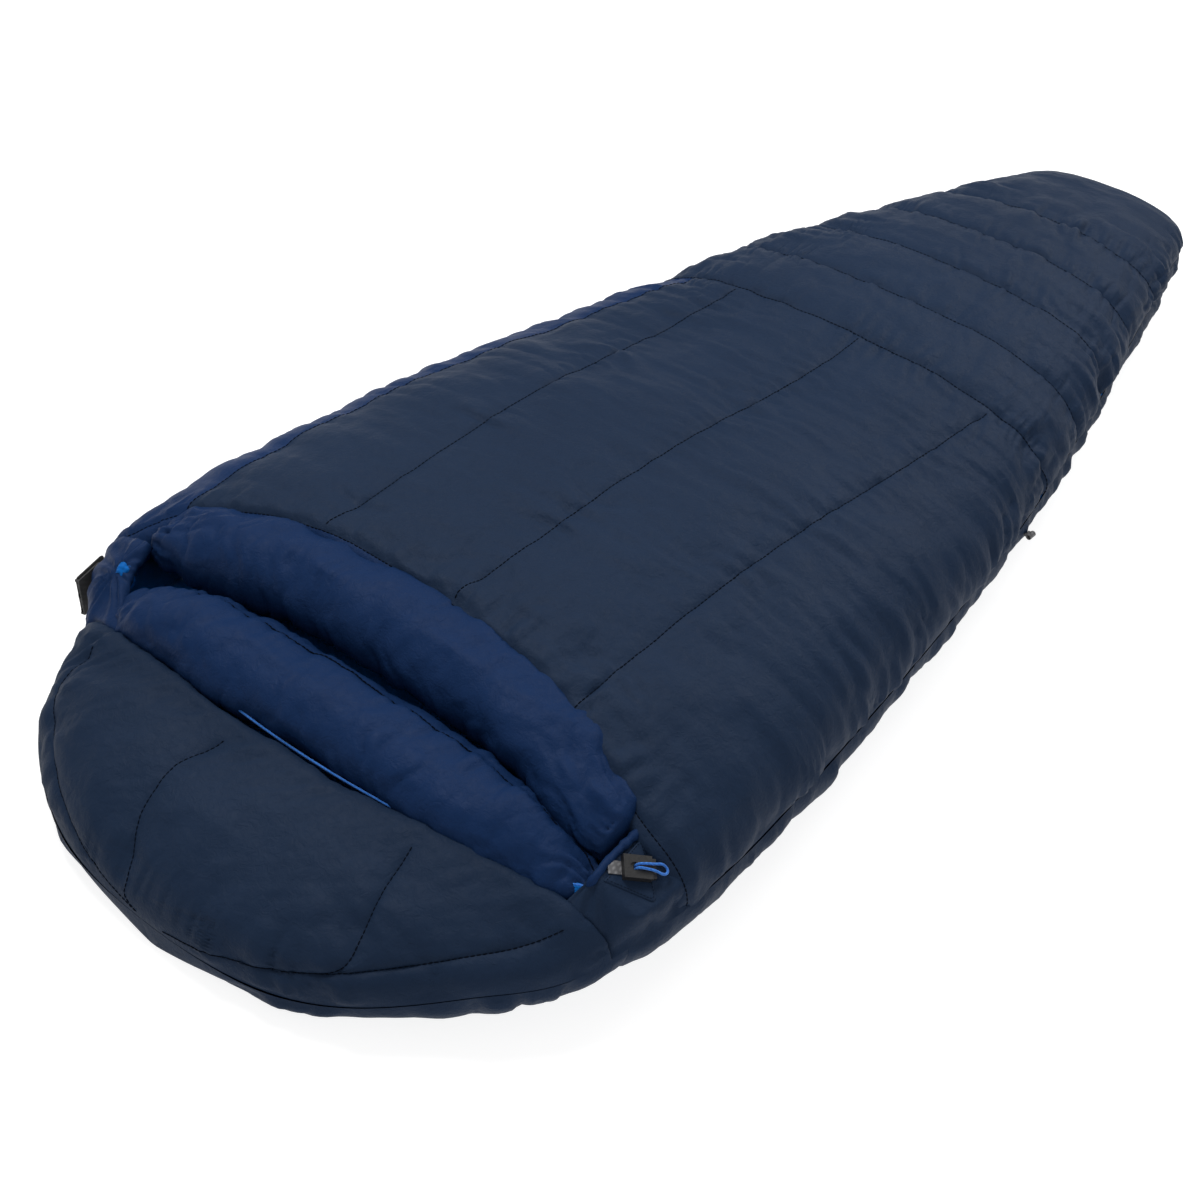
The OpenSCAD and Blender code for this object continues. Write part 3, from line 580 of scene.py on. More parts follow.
def build_quilt():
    """The top quilt's outer cloth as one sewn surface: points, normals, and each row's cell and number."""
    arc = Arc(0.30, FOOT_END - 0.0001, 0.0)
    nose = QUILT_T / 2
    # Columns: the four chest cells and the side panel, right to left, with the seams on whole columns
    at = np.array([0.45])
    seam_x = (*SEAM_X[::-1], -(float(half_w(0.45)) - SIDE_PANEL))
    marks = [0.0, *(float(arc.fraction(at, np.array([x]))[0]) for x in seam_x), 1.0]
    counts, cell, frac = columns(marks, float(arc.length_at(0.45)), 6)
    cols = len(cell)
    edge = edge_across(arc, 0.45, np.interp(cell + frac, range(6), marks), 0, EDGE_X, EDGE_Y)[0] + nose
    # Rows: nose (around the front edge), chest, five leg cells
    rows_y, rows_d, mark = [], [], []

    def add_row(y, d, cell_of_row, k):
        rows_y.append(y + np.zeros(cols))
        rows_d.append(d + np.zeros(cols))
        mark.append((cell_of_row, k))
    for k in range(NOSE_ROWS):
        phi = math.pi * (1 - k / NOSE_ROWS)
        add_row(edge - nose * math.sin(phi), nose * (1 - math.cos(phi)), -1, k)
    chest_n, leg_n, foot_n = int(0.85 / STEP), int(0.134 / STEP), int(0.26 / STEP * 1.25)
    for k in range(chest_n):
        t = k / chest_n
        add_row(edge * (1 - t) + SEAM_Y[0] * t, 0, 0, k)
    for c in range(4):
        for k in range(leg_n):
            add_row(SEAM_Y[c] + (SEAM_Y[c + 1] - SEAM_Y[c]) * k / leg_n, 0, c + 1, k)
    for k in range(foot_n + 1):
        t = (1 - k / foot_n)**1.7
        add_row((FOOT_END - 0.000036) * (1 - t) + SEAM_Y[4] * t, 0, 5, k)
    Y, D = np.array(rows_y), np.array(rows_d)
    # Arc shares of the seams at each y
    ys = np.linspace(0.36, FOOT_END, 120)
    held = np.minimum(ys, SEAM_Y[0])
    F = np.stack([np.zeros(120)] + [arc.fraction(held, np.full(120, x)) for x in SEAM_X[::-1]]
                 + [arc.fraction(held, SIDE_PANEL - half_w(held)), np.ones(120)], 1)
    U = from_seam_to_seam(Y, ys, F, cell, frac)
    P = dome(Y, arc.angle(Y, U), D)
    N = outward(P, MIDDLE)
    arc_len = arc.length_at(Y)
    # Distances to the side seams, the lengthwise seams, the crosswise seams, and the side panel's seam
    side = np.minimum(U, 1 - U) * arc_len
    inner = [np.abs(U - np.interp(Y, ys, F[:, k])) * arc_len for k in (1, 2, 3)]
    border = np.abs(U - np.interp(Y, ys, F[:, 4])) * arc_len
    cross = np.minimum.reduce([np.abs(Y - s) for s in SEAM_Y])
    chest, foot = Y < SEAM_Y[0], Y > SEAM_Y[4]
    height = pillow(np.where(chest, np.minimum.reduce(inner), 9), 0.0065, 0.0035, 0.040)
    height -= np.where(chest, 0.0025 * np.exp(-border / 0.012), 0)
    chest_height = np.minimum(height, pillow(np.abs(Y - SEAM_Y[0]), 0.0075, 0.0035, 0.030))
    leg_height = pillow(np.where(foot, Y - SEAM_Y[4], cross), 0.0060, 0.0045, 0.024)
    height = np.where(chest, chest_height, leg_height)
    # The cells fade towards the sides, where they run on round the body
    height = np.minimum(height, pillow(side, 0.004, 0.008, 0.032))
    fade = smooth((Y - edge[None, :]) / 0.05)
    height = np.where(D > 0, 0.002, height * fade + 0.002 * (1 - fade))
    height[NOSE_ROWS - 1] -= 0.0045
    height[NOSE_ROWS] -= 0.0012
    folds = np.zeros_like(Y)
    for k, dist in enumerate(inner):
        folds += np.where(chest, puckers(Y, dist, 11 + k, 0.012, 0.0050, 0.050), 0)
    for k, s in enumerate(SEAM_Y):
        folds += puckers(U * arc_len + 3 * k, np.abs(Y - s), 31 + k, 0.011, 0.0046, 0.034) * (Y < s + 0.15)
    folds += puckers(Y, side, 51, 0.014, 0.0068, 0.075)
    folds += np.where(chest, puckers(Y, border, 55, 0.013, 0.0016, 0.018), 0)
    folds += puckers(P[..., 0], np.abs(Y - edge[None, :]), 61, 0.012, 0.0056, 0.036) * np.where(D > 0, 0.7, 1)
    folds += crumple(P, 5, 0.085, 0.0024)
    tip = smooth((FOOT_END - Y) / 0.05)
    P = P + N * (height * tip + folds * (tip * smooth(side / 0.012)))[..., None]
    P[..., 2] = np.maximum(P[..., 2], base_top(Y) + 0.0004)
    return dict(P=P, N=N, mark=mark, counts=counts)


quilt = build_quilt()


def cut(rows, cols, closed=False):
    """Points and faces of a part of the quilt, with a face over its last row where it is closed."""
    P = quilt["P"][rows, cols]
    n, m = P.shape[:2]
    return P, grid_faces(n, m) + (end_face(n, m, False) if closed else [])


def cell_columns(surface, k):
    start = sum(surface["counts"][:k])
    return slice(start, start + surface["counts"][k] + 1)


def cell_rows(k):
    rows = [i for i, m in enumerate(quilt["mark"]) if m[0] == k]
    return slice(rows[0], min(rows[-1] + 2, len(quilt["mark"])))


# The hem runs round the front edge, up to the seam that the chest cells start from
HEM = quilt["mark"].index((0, 0)) - 1
chest_rows = slice(HEM, cell_rows(0).stop)
split = int(np.sum(quilt["P"][HEM][:, 0] > 0.385))
piece("quilt_hem", *cut(slice(0, HEM + 1), slice(split, None)), "mid_blue_shell", "top_quilt", (), 0.5)
piece("quilt_hem_right", *cut(slice(0, HEM + 1), slice(0, split + 1)), "navy_shell", "top_quilt", (), 0.5)
for k in range(4):
    stands_for = [f"chest_cell_{4 - k}"] + (["top_shell", "chest_baffle_walls"] if k == 0 else [])
    shape = cut(chest_rows, cell_columns(quilt, k))
    piece(f"quilt_chest_{4 - k}", *shape, "navy_shell", "top_quilt", stands_for, 0.75)
shape = cut(chest_rows, cell_columns(quilt, 4))
piece("quilt_side_panel", *shape, "mid_blue_shell", "top_quilt", ["zip_side_panel"], 0.6)
for k in range(1, 6):
    stands_for = [f"leg_cell_{k}"] + (["leg_baffle_walls"] if k == 1 else [])
    shape = cut(cell_rows(k), slice(0, None), k == 5)
    piece(f"quilt_leg_{k}", *shape, "navy_shell", "top_quilt", stands_for, 0.8)


def build_lining():
    end = FOOT_END - QUILT_T
    arc = Arc(0.30, end - 0.0001, QUILT_T)
    step = STEP * 1.8
    cols = int(1.0 / step)
    u = np.linspace(0, 1, cols)
    edge = edge_across(arc, 0.45, u, QUILT_T, EDGE_X, EDGE_Y)[0] + QUILT_T / 2
    rows = [edge * (1 - t) + SEAM_Y[0] * t for t in np.linspace(0, 1, int(0.85 / step))]
    rows += [np.full(cols, SEAM_Y[0] + (end - 0.00004 - SEAM_Y[0]) * (1 - (1 - t)**1.7))
             for t in np.linspace(0, 1, int(0.78 / step))[1:]]
    Y = np.array(rows)
    U = np.broadcast_to(u, Y.shape)
    P = dome(Y, arc.angle(Y, U), QUILT_T)
    N = outward(P, MIDDLE)
    dist_x = np.minimum.reduce([np.abs(P[..., 0] - x) for x in SEAM_X])
    dist_y = np.minimum.reduce([np.abs(Y - s) for s in SEAM_Y])
    side = np.minimum(U, 1 - U) * arc.length_at(Y)
    dist = np.where(Y < SEAM_Y[0], np.minimum(dist_x, np.abs(Y - SEAM_Y[0])), dist_y)
    h = pillow(np.minimum(dist, side), 0.004, 0.006, 0.03)
    h = h + puckers(Y + P[..., 0], dist, 71, 0.02, 0.003, 0.04) + crumple(P, 8, 0.1, 0.002)
    h *= smooth((end - Y) / 0.05) * smooth(side / 0.01)
    P = P - N * h[..., None]
    P[..., 2] = np.maximum(P[..., 2], base_top(Y) + 0.001)

    def rim(y, a):
        p = dome(y, a, 0.004)
        p[..., 2] = base_top(y) + 0.0012 + (ZIP_ROOM * in_zip(y) if a > 1 else 0)
        return p
    # The lining is turned out flat to the shell's lower edge, at both sides and at the foot
    P = np.concatenate([rim(Y[:, :1], 0.0), P, rim(Y[:, -1:], math.pi)], 1)
    ends = np.linspace(Y[-1, 0] + 0.004, FOOT_END - 0.0045, 5)[:, None]
    fan = np.linspace(0, 1, P.shape[1])[None, :, None]
    P = np.concatenate([P, rim(ends, 0.0) * (1 - fan) + rim(ends, math.pi) * fan])
    faces = grid_faces(*P.shape[:2], True)
    piece("quilt_lining", P, faces, "bright_blue_lining", "top_quilt", ["top_lining"], 0.7)


build_lining()


# ---------------------------------------------------------------- hood

# The four seams of the hood from right to left, each as (y, x) points from the crown to the rim
HOOD_SEAMS = [[(0.0, 0.75), (0.09, 0.385), (0.16, 0.405), (0.25, 0.435), (0.30, 0.44)],
              [(0.0, 0.20), (0.07, 0.262), (0.16, 0.234), (0.235, 0.221), (0.30, 0.215)],
              [(0.0, -0.040), (0.065, -0.081), (0.13, -0.092), (0.215, -0.060), (0.30, -0.055)],
              [(0.0, -0.43), (0.13, -0.345), (0.22, -0.335), (0.30, -0.335)]]
CROWN_Y = 0.00016
HOOD_ROWS = int(0.23 / STEP * 1.6)


def build_hood():
    """The hood's outer cloth as one sewn surface, from the crown to the rim and round it."""
    arc = Arc(CROWN_Y, 0.32, 0.0, n=200)
    nose = HOOD_T / 2
    ys = np.concatenate([np.linspace(CROWN_Y, 0.03, 40), np.linspace(0.031, 0.31, 60)])

    def seam_share(line):
        seam_y, seam_x = np.array(line).T
        w = 0.93 * half_w(ys)
        return arc.fraction(ys, np.clip(np.interp(ys, seam_y, seam_x), -w, w))
    F = np.stack([np.zeros(len(ys))] + [seam_share(s) for s in HOOD_SEAMS] + [np.ones(len(ys))], 1)
    for _ in range(8):
        F[1:-1] = (F[:-2] + 2 * F[1:-1] + F[2:]) / 4
    marks = F[np.argmin(np.abs(ys - 0.2))]
    counts, cell, frac = columns(marks, float(arc.length_at(0.2)), 8)
    cols = len(cell)
    rim, rim_x = edge_across(arc, 0.24, np.interp(cell + frac, range(6), marks), 0, RIM_X, RIM_Y)
    rim = rim - nose
    fold = 1 - 0.86 * smooth((np.abs(rim_x) - 0.385) / 0.035)
    rows_y = [CROWN_Y + (rim - CROWN_Y) * (k / HOOD_ROWS)**1.8 for k in range(HOOD_ROWS + 1)]
    rows_d = [np.zeros(cols)] * (HOOD_ROWS + 1)
    for k in range(1, NOSE_ROWS + 1):
        phi = math.pi * k / NOSE_ROWS
        rows_y.append(rim + nose * math.sin(phi) * fold)
        rows_d.append(np.full(cols, nose * (1 - math.cos(phi))) * fold)
    Y, D = np.array(rows_y), np.array(rows_d)
    U = from_seam_to_seam(Y, ys, F, cell, frac)
    P = dome(Y, arc.angle(Y, U), D)
    N = outward(P, (0, 0.2 - HALF, 0.02))
    arc_len = arc.length_at(Y)
    inner = [np.abs(U - np.interp(Y, ys, F[:, k])) * arc_len for k in (1, 2, 3, 4)]
    edge_d = np.minimum(np.minimum(U, 1 - U) * arc_len, Y)
    h = pillow(np.minimum.reduce(inner), 0.0055, 0.006, 0.040)
    h = np.minimum(h, pillow(edge_d, -0.003, 0.007, 0.030))
    fade = smooth((rim[None, :] - Y) / 0.04)
    h = np.where(D > 0, 0.002, h * fade + 0.002 * (1 - fade))
    folds = np.zeros_like(Y)
    for k, dist in enumerate(inner):
        folds += puckers(Y, dist, 81 + k, 0.016, 0.0040, 0.035)
    rim_d = np.abs(rim[None, :] - Y)
    folds += puckers(U * arc_len, rim_d, 87, 0.013, 0.0048, 0.040) * np.where(D > 0, 0.4, 1)
    folds += puckers(P[..., 0], edge_d, 89, 0.014, 0.0048, 0.045)
    folds += crumple(P, 15, 0.12, 0.0042)
    P = P + N * (h * smooth(Y / 0.03) + folds * smooth(edge_d / 0.012))[..., None]
    P[..., 2] = np.maximum(P[..., 2], base_top(Y) + 0.0003)
    P[..., 1] = np.maximum(P[..., 1], -HALF - 0.017)
    return dict(P=P, N=N, counts=counts)


hood = build_hood()
for k in range(5):
    P = hood["P"][:, cell_columns(hood, k)]
    verts, faces = P.reshape(-1, 3), grid_faces(*P.shape[:2], True)
    if k == 2:
        # The middle panel also closes the crown, where the rows start
        crown = hood["P"][0]
        faces += [[len(verts) + j for j in end_face(1, len(crown), True, True)[0]]]
        verts = np.concatenate([verts, crown])
    stands_for = [f"hood_cell_{5 - k}"] + (["hood_shell", "hood_baffle_walls"] if k == 0 else [])
    piece(f"hood_panel_{5 - k}", verts, faces, "navy_shell", "bag_base", stands_for, 0.7)


def build_hood_lining():
    arc = Arc(HOOD_T + CROWN_Y, 0.32, HOOD_T, n=160)
    cols, n = 110, 60
    u = np.linspace(0, 1, cols)
    rim = edge_across(arc, 0.24, u, HOOD_T, RIM_X, RIM_Y)[0] - HOOD_T / 2
    Y = np.array([HOOD_T + CROWN_Y + (rim - HOOD_T) * (k / n)**1.8 for k in range(n + 1)])
    U = np.broadcast_to(u, Y.shape)
    P = dome(Y, arc.angle(Y, U), HOOD_T)
    P[..., 2] += 0.003 * layers(P[..., 0] / 0.06, P[..., 1] / 0.06, 0, 3) * smooth((Y - HOOD_T) / 0.03) \
        * smooth(np.minimum(U, 1 - U) / 0.05)
    faces = grid_faces(*Y.shape)
    piece("hood_lining_cloth", P, faces, "bright_blue_lining", "bag_base", ["hood_lining"], 0.6)


build_hood_lining()


# ---------------------------------------------------------------- base

BASE_SEAMS = (0.3, 0.6, 0.9, 1.2, 1.5, 1.8)
BASE_PITCH = 0.3


def base_row_places(step):
    """The y of each row of the base and its panel. Rows are closer together at the two round ends."""
    places = []
    for k in range(7):
        y0 = BASE_PITCH * k
        n = int(BASE_PITCH / step * (1.5 if k in (0, 6) else 1))
        for i in range(n + (1 if k == 6 else 0)):
            f = i / n
            y = y0 + BASE_PITCH * f
            if k == 0:
                y = CROWN_Y + (BASE_PITCH - CROWN_Y) * f**1.8
            elif k == 6:
                y = y0 + (FOOT_END - 0.000036 - y0) * (1 - (1 - f)**1.7)
            places.append((y, k))
    return places


def build_base():
    """The base's outer cloth: up from the ground on both sides, and flat below."""
    step = STEP * 1.15
    places = base_row_places(step)
    nf, nu = int(0.115 / step), int(0.8 / (step * 2.2))
    # Columns: right flank, underside, left flank; t is the turn along a flank
    t = np.radians(np.concatenate([np.linspace(0, 90, nf), np.full(nu, 90.0), np.linspace(90, 0, nf)]))
    across = np.concatenate([np.ones(nf), np.linspace(1, -1, nu + 2)[1:-1], -np.ones(nf)])
    side = np.concatenate([np.ones(nf), np.zeros(nu), -np.ones(nf)])
    y = np.array([place[0] for place in places])[:, None]
    W = half_w(y)
    r = np.minimum(0.115, W * 0.7)
    zip_room = np.where(side > 0, 0, 0.0058 * in_zip(y))
    top = base_top(y) - 0.0002 - 0.0010 * smooth((y - 0.24) / 0.03) - zip_room
    flank_x = W - r + r * np.cos(t)[None, :]
    X = np.where(side[None, :] != 0, side[None, :] * flank_x, across[None, :] * (W - r))
    low = 0.0016
    Z = np.where(side[None, :] != 0, low + (top - low) * (1 - np.sin(t))[None, :], low)
    Yg = np.broadcast_to(y, X.shape)
    P = np.stack([X + drawn_in(Yg, X), along(Yg, X), Z], -1)
    N = outward(P, (0, 0, 0.06))
    step_len = np.linalg.norm(np.diff(P, axis=1), axis=2)
    s = np.concatenate([np.zeros((len(places), 1)), np.cumsum(step_len, 1)], 1)
    rim = np.minimum(s, s[:, -1:] - s)
    seam = np.minimum.reduce([np.abs(Yg - v) for v in BASE_SEAMS])
    end = np.minimum(Yg, FOOT_END - Yg)
    valley = -0.003 + 0.006 * smooth((Yg - 0.22) / 0.08)
    h = np.minimum(pillow(rim, valley, 0.004, 0.028), pillow(seam, 0.004, 0.004, 0.03))
    folds = puckers(Yg, rim, 101, 0.015, 0.0055, 0.045) + puckers(s, seam, 103, 0.018, 0.003, 0.03)
    folds = (folds + crumple(P, 25, 0.1)) * smooth(rim / 0.012)
    P = P + N * ((h + folds) * smooth(end / 0.03))[..., None]
    P[..., 2] = np.clip(P[..., 2], 0.0008, np.where(rim < 0.03, np.broadcast_to(top, X.shape), 1))
    P[..., 2] = np.maximum(P[..., 2], 0.0006 + 0.0016 * np.exp(-seam / 0.01))
    return P, [place[1] for place in places]


base_P, base_mark = build_base()
for k in range(7):
    rows = [i for i, m in enumerate(base_mark) if m == k]
    P = base_P[rows[0]:min(rows[-1] + 2, len(base_mark))]
    n, m = P.shape[:2]
    faces = grid_faces(n, m) + (end_face(n, m, k == 0) if k in (0, 6) else [])
    stands_for = [f"base_cell_{k + 1}"] + (["underside_panel", "base_baffle_walls"] if k == 0 else [])
    piece(f"base_panel_{k + 1}", P, faces, "navy_shell", "bag_base", stands_for, 0.6)


def build_base_lining():
    n, cols = ((260, 130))
    start, middle, stop = 0.018, 0.7, 2.082
    head = start + (middle - start) * np.linspace(0, 1, n // 2)**1.7
    foot = middle + (stop - middle) * (1 - (1 - np.linspace(0, 1, n - n // 2 + 1)[1:])**1.6)
    y = np.concatenate([head, foot])[:, None]
    c = np.sin(np.linspace(-1, 1, cols) * math.pi / 2)[None, :]
    W = np.maximum(half_w(y, 0.010), 0.004)
    X, Yg = W * c, np.broadcast_to(y, (len(y), cols))
    left = smooth((0.10 - (X + W)) / 0.03) * in_zip(Yg)
    Z = base_top(Yg) - 0.0014 - 0.0075 * left
    seam = np.minimum.reduce([np.abs(Yg - v) for v in BASE_SEAMS])
    edge = np.minimum(W - np.abs(X), np.minimum(Yg - start, stop - Yg))
    P = np.stack([X + drawn_in(Yg, X), Yg - HALF, Z], -1)
    puff = pillow(np.minimum(seam, np.maximum(edge, 0)), 0.0, 0.012, 0.035)
    puff = puff + puckers(X, seam, 111, 0.022, 0.003, 0.04) * smooth(edge / 0.02) + crumple(P, 27, 0.1, 0.003)
    P[..., 2] += np.maximum(puff, 0) * smooth((edge - 0.030) / 0.030) * (1 - left)
    faces = grid_faces(*Yg.shape)
    piece("base_lining_cloth", P, faces, "bright_blue_lining", "bag_base", ["base_lining"], 0.6)


build_base_lining()


# ---------------------------------------------------------------- the two down collars

def eased(t):
    """Spreads a collar's rings, given as -1 to 1, closer together towards its two ends."""
    return np.sign(t) * (1 - (1 - np.abs(t))**1.25)


def collar(name, node, body, centre, radii, seam_phi, seed, fold):
    """A stuffed tube across the mouth: gathers at both ends, cross folds, and a seam where it has one."""
    n, sides = ((220, 72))
    t = eased(np.linspace(-1, 1, n))
    C = centre(t)
    ry, rz = radii(t)
    # phi is 0 towards the foot and a quarter turn at the top
    phi = np.linspace(0, 2 * math.pi, sides, endpoint=False)
    T, PH = np.meshgrid(t, phi, indexing="ij")
    s = lengths(C)
    S = np.broadcast_to(s[:, None], T.shape)
    end = np.minimum(S, s[-1] - S)
    P = np.stack([np.broadcast_to(C[:, 0:1], T.shape), C[:, 1:2] + ry[:, None] * np.cos(PH),
                  C[:, 2:3] + rz[:, None] * np.sin(PH)], -1)
    out = np.stack([np.zeros_like(T), np.cos(PH), np.sin(PH)], -1)
    h = crumple(P, seed, 0.075, 0.0046)
    # Gathers: folds that run along the collar from its two ends
    twist = PH + 0.5 * noise(S / 0.05, PH, 2, seed + 1)
    gather = 1.6 * np.abs(noise(twist * 2.2, S / 0.09, 0, seed))**0.6 - 0.9
    gather = gather + 0.6 * (1.6 * np.abs(noise(twist * 4.5, S / 0.06, 4, seed))**0.6 - 0.9)
    h += 0.0085 * gather * np.exp(-end / 0.07) * smooth(end / 0.008)
    # Cross folds
    warp = S + 0.02 * noise(S / 0.12, PH * 1.5, 1, seed + 3)
    sharp = 1.7 * np.abs(noise(warp / 0.020, PH * 0.9, 5, seed + 4))**0.7 - 0.8
    h += fold * sharp * (0.4 + 0.6 * np.clip(noise(S / 0.1, PH, 7, seed) + 0.4, 0, 1))
    if seam_phi is not None:
        turn = np.abs(np.angle(np.exp(1j * (PH - seam_phi(t)[:, None]))))
        gap = turn * ((ry + rz)[:, None] / 2)
        h += -0.0060 * np.exp(-gap / 0.004) + puckers(S, gap, seed + 8, 0.011, 0.0048, 0.024)
    P = P + out * h[..., None]
    piece(name, P, ring_faces(n, sides, True), "mid_blue_shell", body, [node], 0.85)
    return P, out


def taper(t, mid, end, p):
    return end + (mid - end) * np.clip(1 - np.abs(t)**p, 0, 1)**0.6


def lower_centre(t):
    y = 0.296 + 0.013 * t - 0.004 * t * t
    z = base_top(y + 0.04) + 0.0006 + np.maximum(taper(t, 0.052, 0.030, 3), 0.034) + 0.012 * (1 - t * t)
    left, right = smooth((-t - 0.7) / 0.3), smooth((t - 0.7) / 0.3)
    return np.stack([0.404 * t + 0.012 * left + 0.018 * right, y - HALF, z - 0.020 * left - 0.006 * right], 1)


def lower_radii(t):
    return taper(t, 0.066, 0.018, 3.2), taper(t, 0.052, 0.016, 4)


def seam_angle(t):
    return math.radians(52) + math.radians(4) * t


def upper_centre(t):
    y = 0.437 - 0.004 * t - 0.046 * t * t - 0.018 * smooth((t - 0.6) / 0.4)
    z = 0.194 - 0.034 * np.abs(t)**2.2
    return np.stack([0.404 * t - 0.006, y - HALF, z], 1)


def upper_radii(t):
    return taper(t, 0.065, 0.024, 5), taper(t, 0.058, 0.024, 6)


lower, lower_N = collar("collar_lower", "neck_collar", "bag_base", lower_centre, lower_radii, seam_angle, 201,
                        0.0034)
collar("collar_upper", "upper_collar", "top_quilt", upper_centre, upper_radii, None, 221, 0.0036)


# ---------------------------------------------------------------- sides of the neck

UP = np.array([0.0, 0.0, 1.0])


class Place:
    """A small part's own frame: a point in metres and three directions."""

    def __init__(self, point, x, y, z):
        self.point = np.array(point)
        self.x, self.y, self.z = np.array(x), np.array(y), np.array(z)

    def at(self, x, y, z):
        """Point in metres from millimetres in this frame."""
        return self.point + (x * self.x + y * self.y + z * self.z) / 1000


LOCK_TILT = math.radians(27)
LOCK = Place((0.438, 0.345 - HALF, 0.155), (math.cos(LOCK_TILT), 0, -math.sin(LOCK_TILT)), (0, 1, 0),
             (math.sin(LOCK_TILT), 0, math.cos(LOCK_TILT)))
NECK_COLS = 54


def lock_seat(P):
    """Presses the cloth flat below the cord lock's patch."""
    rel = (P - LOCK.point) * 1000
    past_x = np.maximum(np.abs(rel @ LOCK.x - 5) - 34, 0)
    past_y = np.maximum(np.abs(rel @ LOCK.y) - 36, 0)
    near = np.exp(-(past_x**2 + past_y**2) / 14.0**2)
    excess = np.clip(rel @ LOCK.z + 0.4, -16, 60) * near
    return P - LOCK.z * (excess / 1000)[..., None]


def neck_side(name, node, slot, sign, y_high, inner_x, lean, seed, corner):
    """The cloth between hood and quilt on one side: up from the side seam, then over an edge and inside."""
    rows, nose_n = ((48, 12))
    f = np.linspace(0, 1, rows)
    arc = Arc(0.20, 0.50, 0.0)
    x_mid = inner_x * sign
    u = np.linspace(0, 1, NECK_COLS)
    share_in = arc.fraction(np.full(2, 0.34), np.array([x_mid + lean, x_mid]))
    ua = share_in[0] + (share_in[1] - share_in[0]) * smooth(f)[:, None]
    U = u * ua if sign > 0 else 1 - u * (1 - ua)
    xs = dome(0.33, arc.angle(np.full(NECK_COLS, 0.33), U[rows // 2]))[:, 0]
    low, high = soft_interp(xs, RIM_X, RIM_Y) - 0.040, y_high(xs)
    Y = low[None, :] + (high - low)[None, :] * f[:, None]
    P = dome(Y, arc.angle(Y, U))
    N = outward(P, (0, -0.7, 0.05))
    # Over the edge at the mouth: a turn down and in
    r = 0.009
    edge, en = P[:, -1], N[:, -1]
    inward = np.array([-sign, 0, 0]) - en * (en @ np.array([-sign, 0, 0]))[:, None]
    inward /= np.linalg.norm(inward, axis=1, keepdims=True)
    turned = []
    for k in range(1, nose_n + 1):
        a = math.pi * k / nose_n
        turned.append(edge + inward * r * math.sin(a) - en * r * (1 - math.cos(a)))
    turned += [turned[-1] - inward * 0.007 * k - en * 0.003 * k for k in range(1, 6)]
    P = np.concatenate([P, np.stack(turned, 1)], 1)
    N = np.concatenate([N, np.repeat(en[:, None], len(turned), 1)], 1)
    Yg = P[..., 1] + HALF
    side = np.linalg.norm(P - P[:, :1], axis=2)
    # Folds that spread like rays from the corner where the collars end
    away = P - np.array(corner)
    rad = np.linalg.norm(away[..., :2], axis=2)
    ang = np.arctan2(away[..., 1], away[..., 0])
    rays = 0.0034 * np.cos(ang * 13 + 2.5 * noise(rad / 0.05, ang * 2, 0, seed))
    rays = rays * np.exp(-rad / 0.06) * smooth(rad / 0.01)
    h = pillow(side, 0.009, 0.004, 0.03) + rays + crumple(P, seed, 0.06, 0.0026)
    h = (h + puckers(Yg, side, seed + 3, 0.02, 0.0045, 0.05)) * smooth(side / 0.012 + 0.15)
    # The cloth dips below the hood's rim
    held_back = 0.014 * smooth((np.abs(P[..., 0]) - 0.385) / 0.035)
    rim_here = soft_interp(P[..., 0], RIM_X, RIM_Y) + 0.003 - held_back
    h = h - 0.010 * smooth((rim_here - Yg) / 0.012)
    P = P + N * h[..., None]
    if sign > 0:
        P = lock_seat(P)
    P[..., 2] = np.maximum(P[..., 2], base_top(P[..., 1] + HALF) + 0.0004)
    piece(name, P, grid_faces(*P.shape[:2], sign > 0), slot, "bag_base", [node], 0.5)
    return P


right_side = neck_side("neck_panel_right", "neck_side_right", "navy_shell", 1,
                       lambda x: soft_interp(x, EDGE_X, EDGE_Y) + 0.014, 0.408, 0.024, 301,
                       (0.412, 0.310 - HALF, 0.14))
neck_side("neck_panel_left", "neck_side_left", "mid_blue_shell", -1, lambda x: 0.352 + 0 * x, 0.402, 0.0, 321,
          (-0.405, 0.300 - HALF, 0.14))


def sewn_plate(outline, z0, z1, rounding, rings=9):
    """A crowned patch in the lock's frame, with its edge turned down, and the line of its stitches."""
    p = np.array([[*q, 0] for q in outline + outline[:1]], float)
    p = resample(rounded(resample(p, 12), rounding), 2.0)[:-1, :2]
    c = p.mean(0)
    rows = [[LOCK.at(x, y, z0 - 0.6) for x, y in p]]
    for k in range(rings):
        s = 1 - (k / (rings - 1))**1.3
        z = z1 - (z1 - z0) * max(0, (s - 0.93) / 0.07)**2
        q = c + (p - c) * max(s, 0.02)
        ripple = 0.15 * (1 - s**4)
        rows.append([LOCK.at(x, y, z + ripple * math.sin(0.25 * x) * math.sin(0.21 * y)) for x, y in q])
    P = np.array(rows)
    line = np.array([LOCK.at(*(c + (q - c) * 0.90), z1) for q in np.concatenate([p, p[:1]])])
    return P, ring_faces(*P.shape[:2]), resample(line, 0.001)


# ---------------------------------------------------------------- right corner: patch, cord and binding

FINE = dict(length=0.0026, gap=0.0014, r=0.0003)
verts, faces, line = sewn_plate([[-14, -38], [-24, 36], [44, -6]], 0.2, 1.4, 3)
piece("cord_patch_cloth", verts, faces, "navy_shell", "bag_base", ["cord_patch"])
bits = Bits()
stitches(bits, line, np.tile(LOCK.z, (len(line), 1)), **FINE)
bits.sew("cord_patch_stitches", "bag_base")

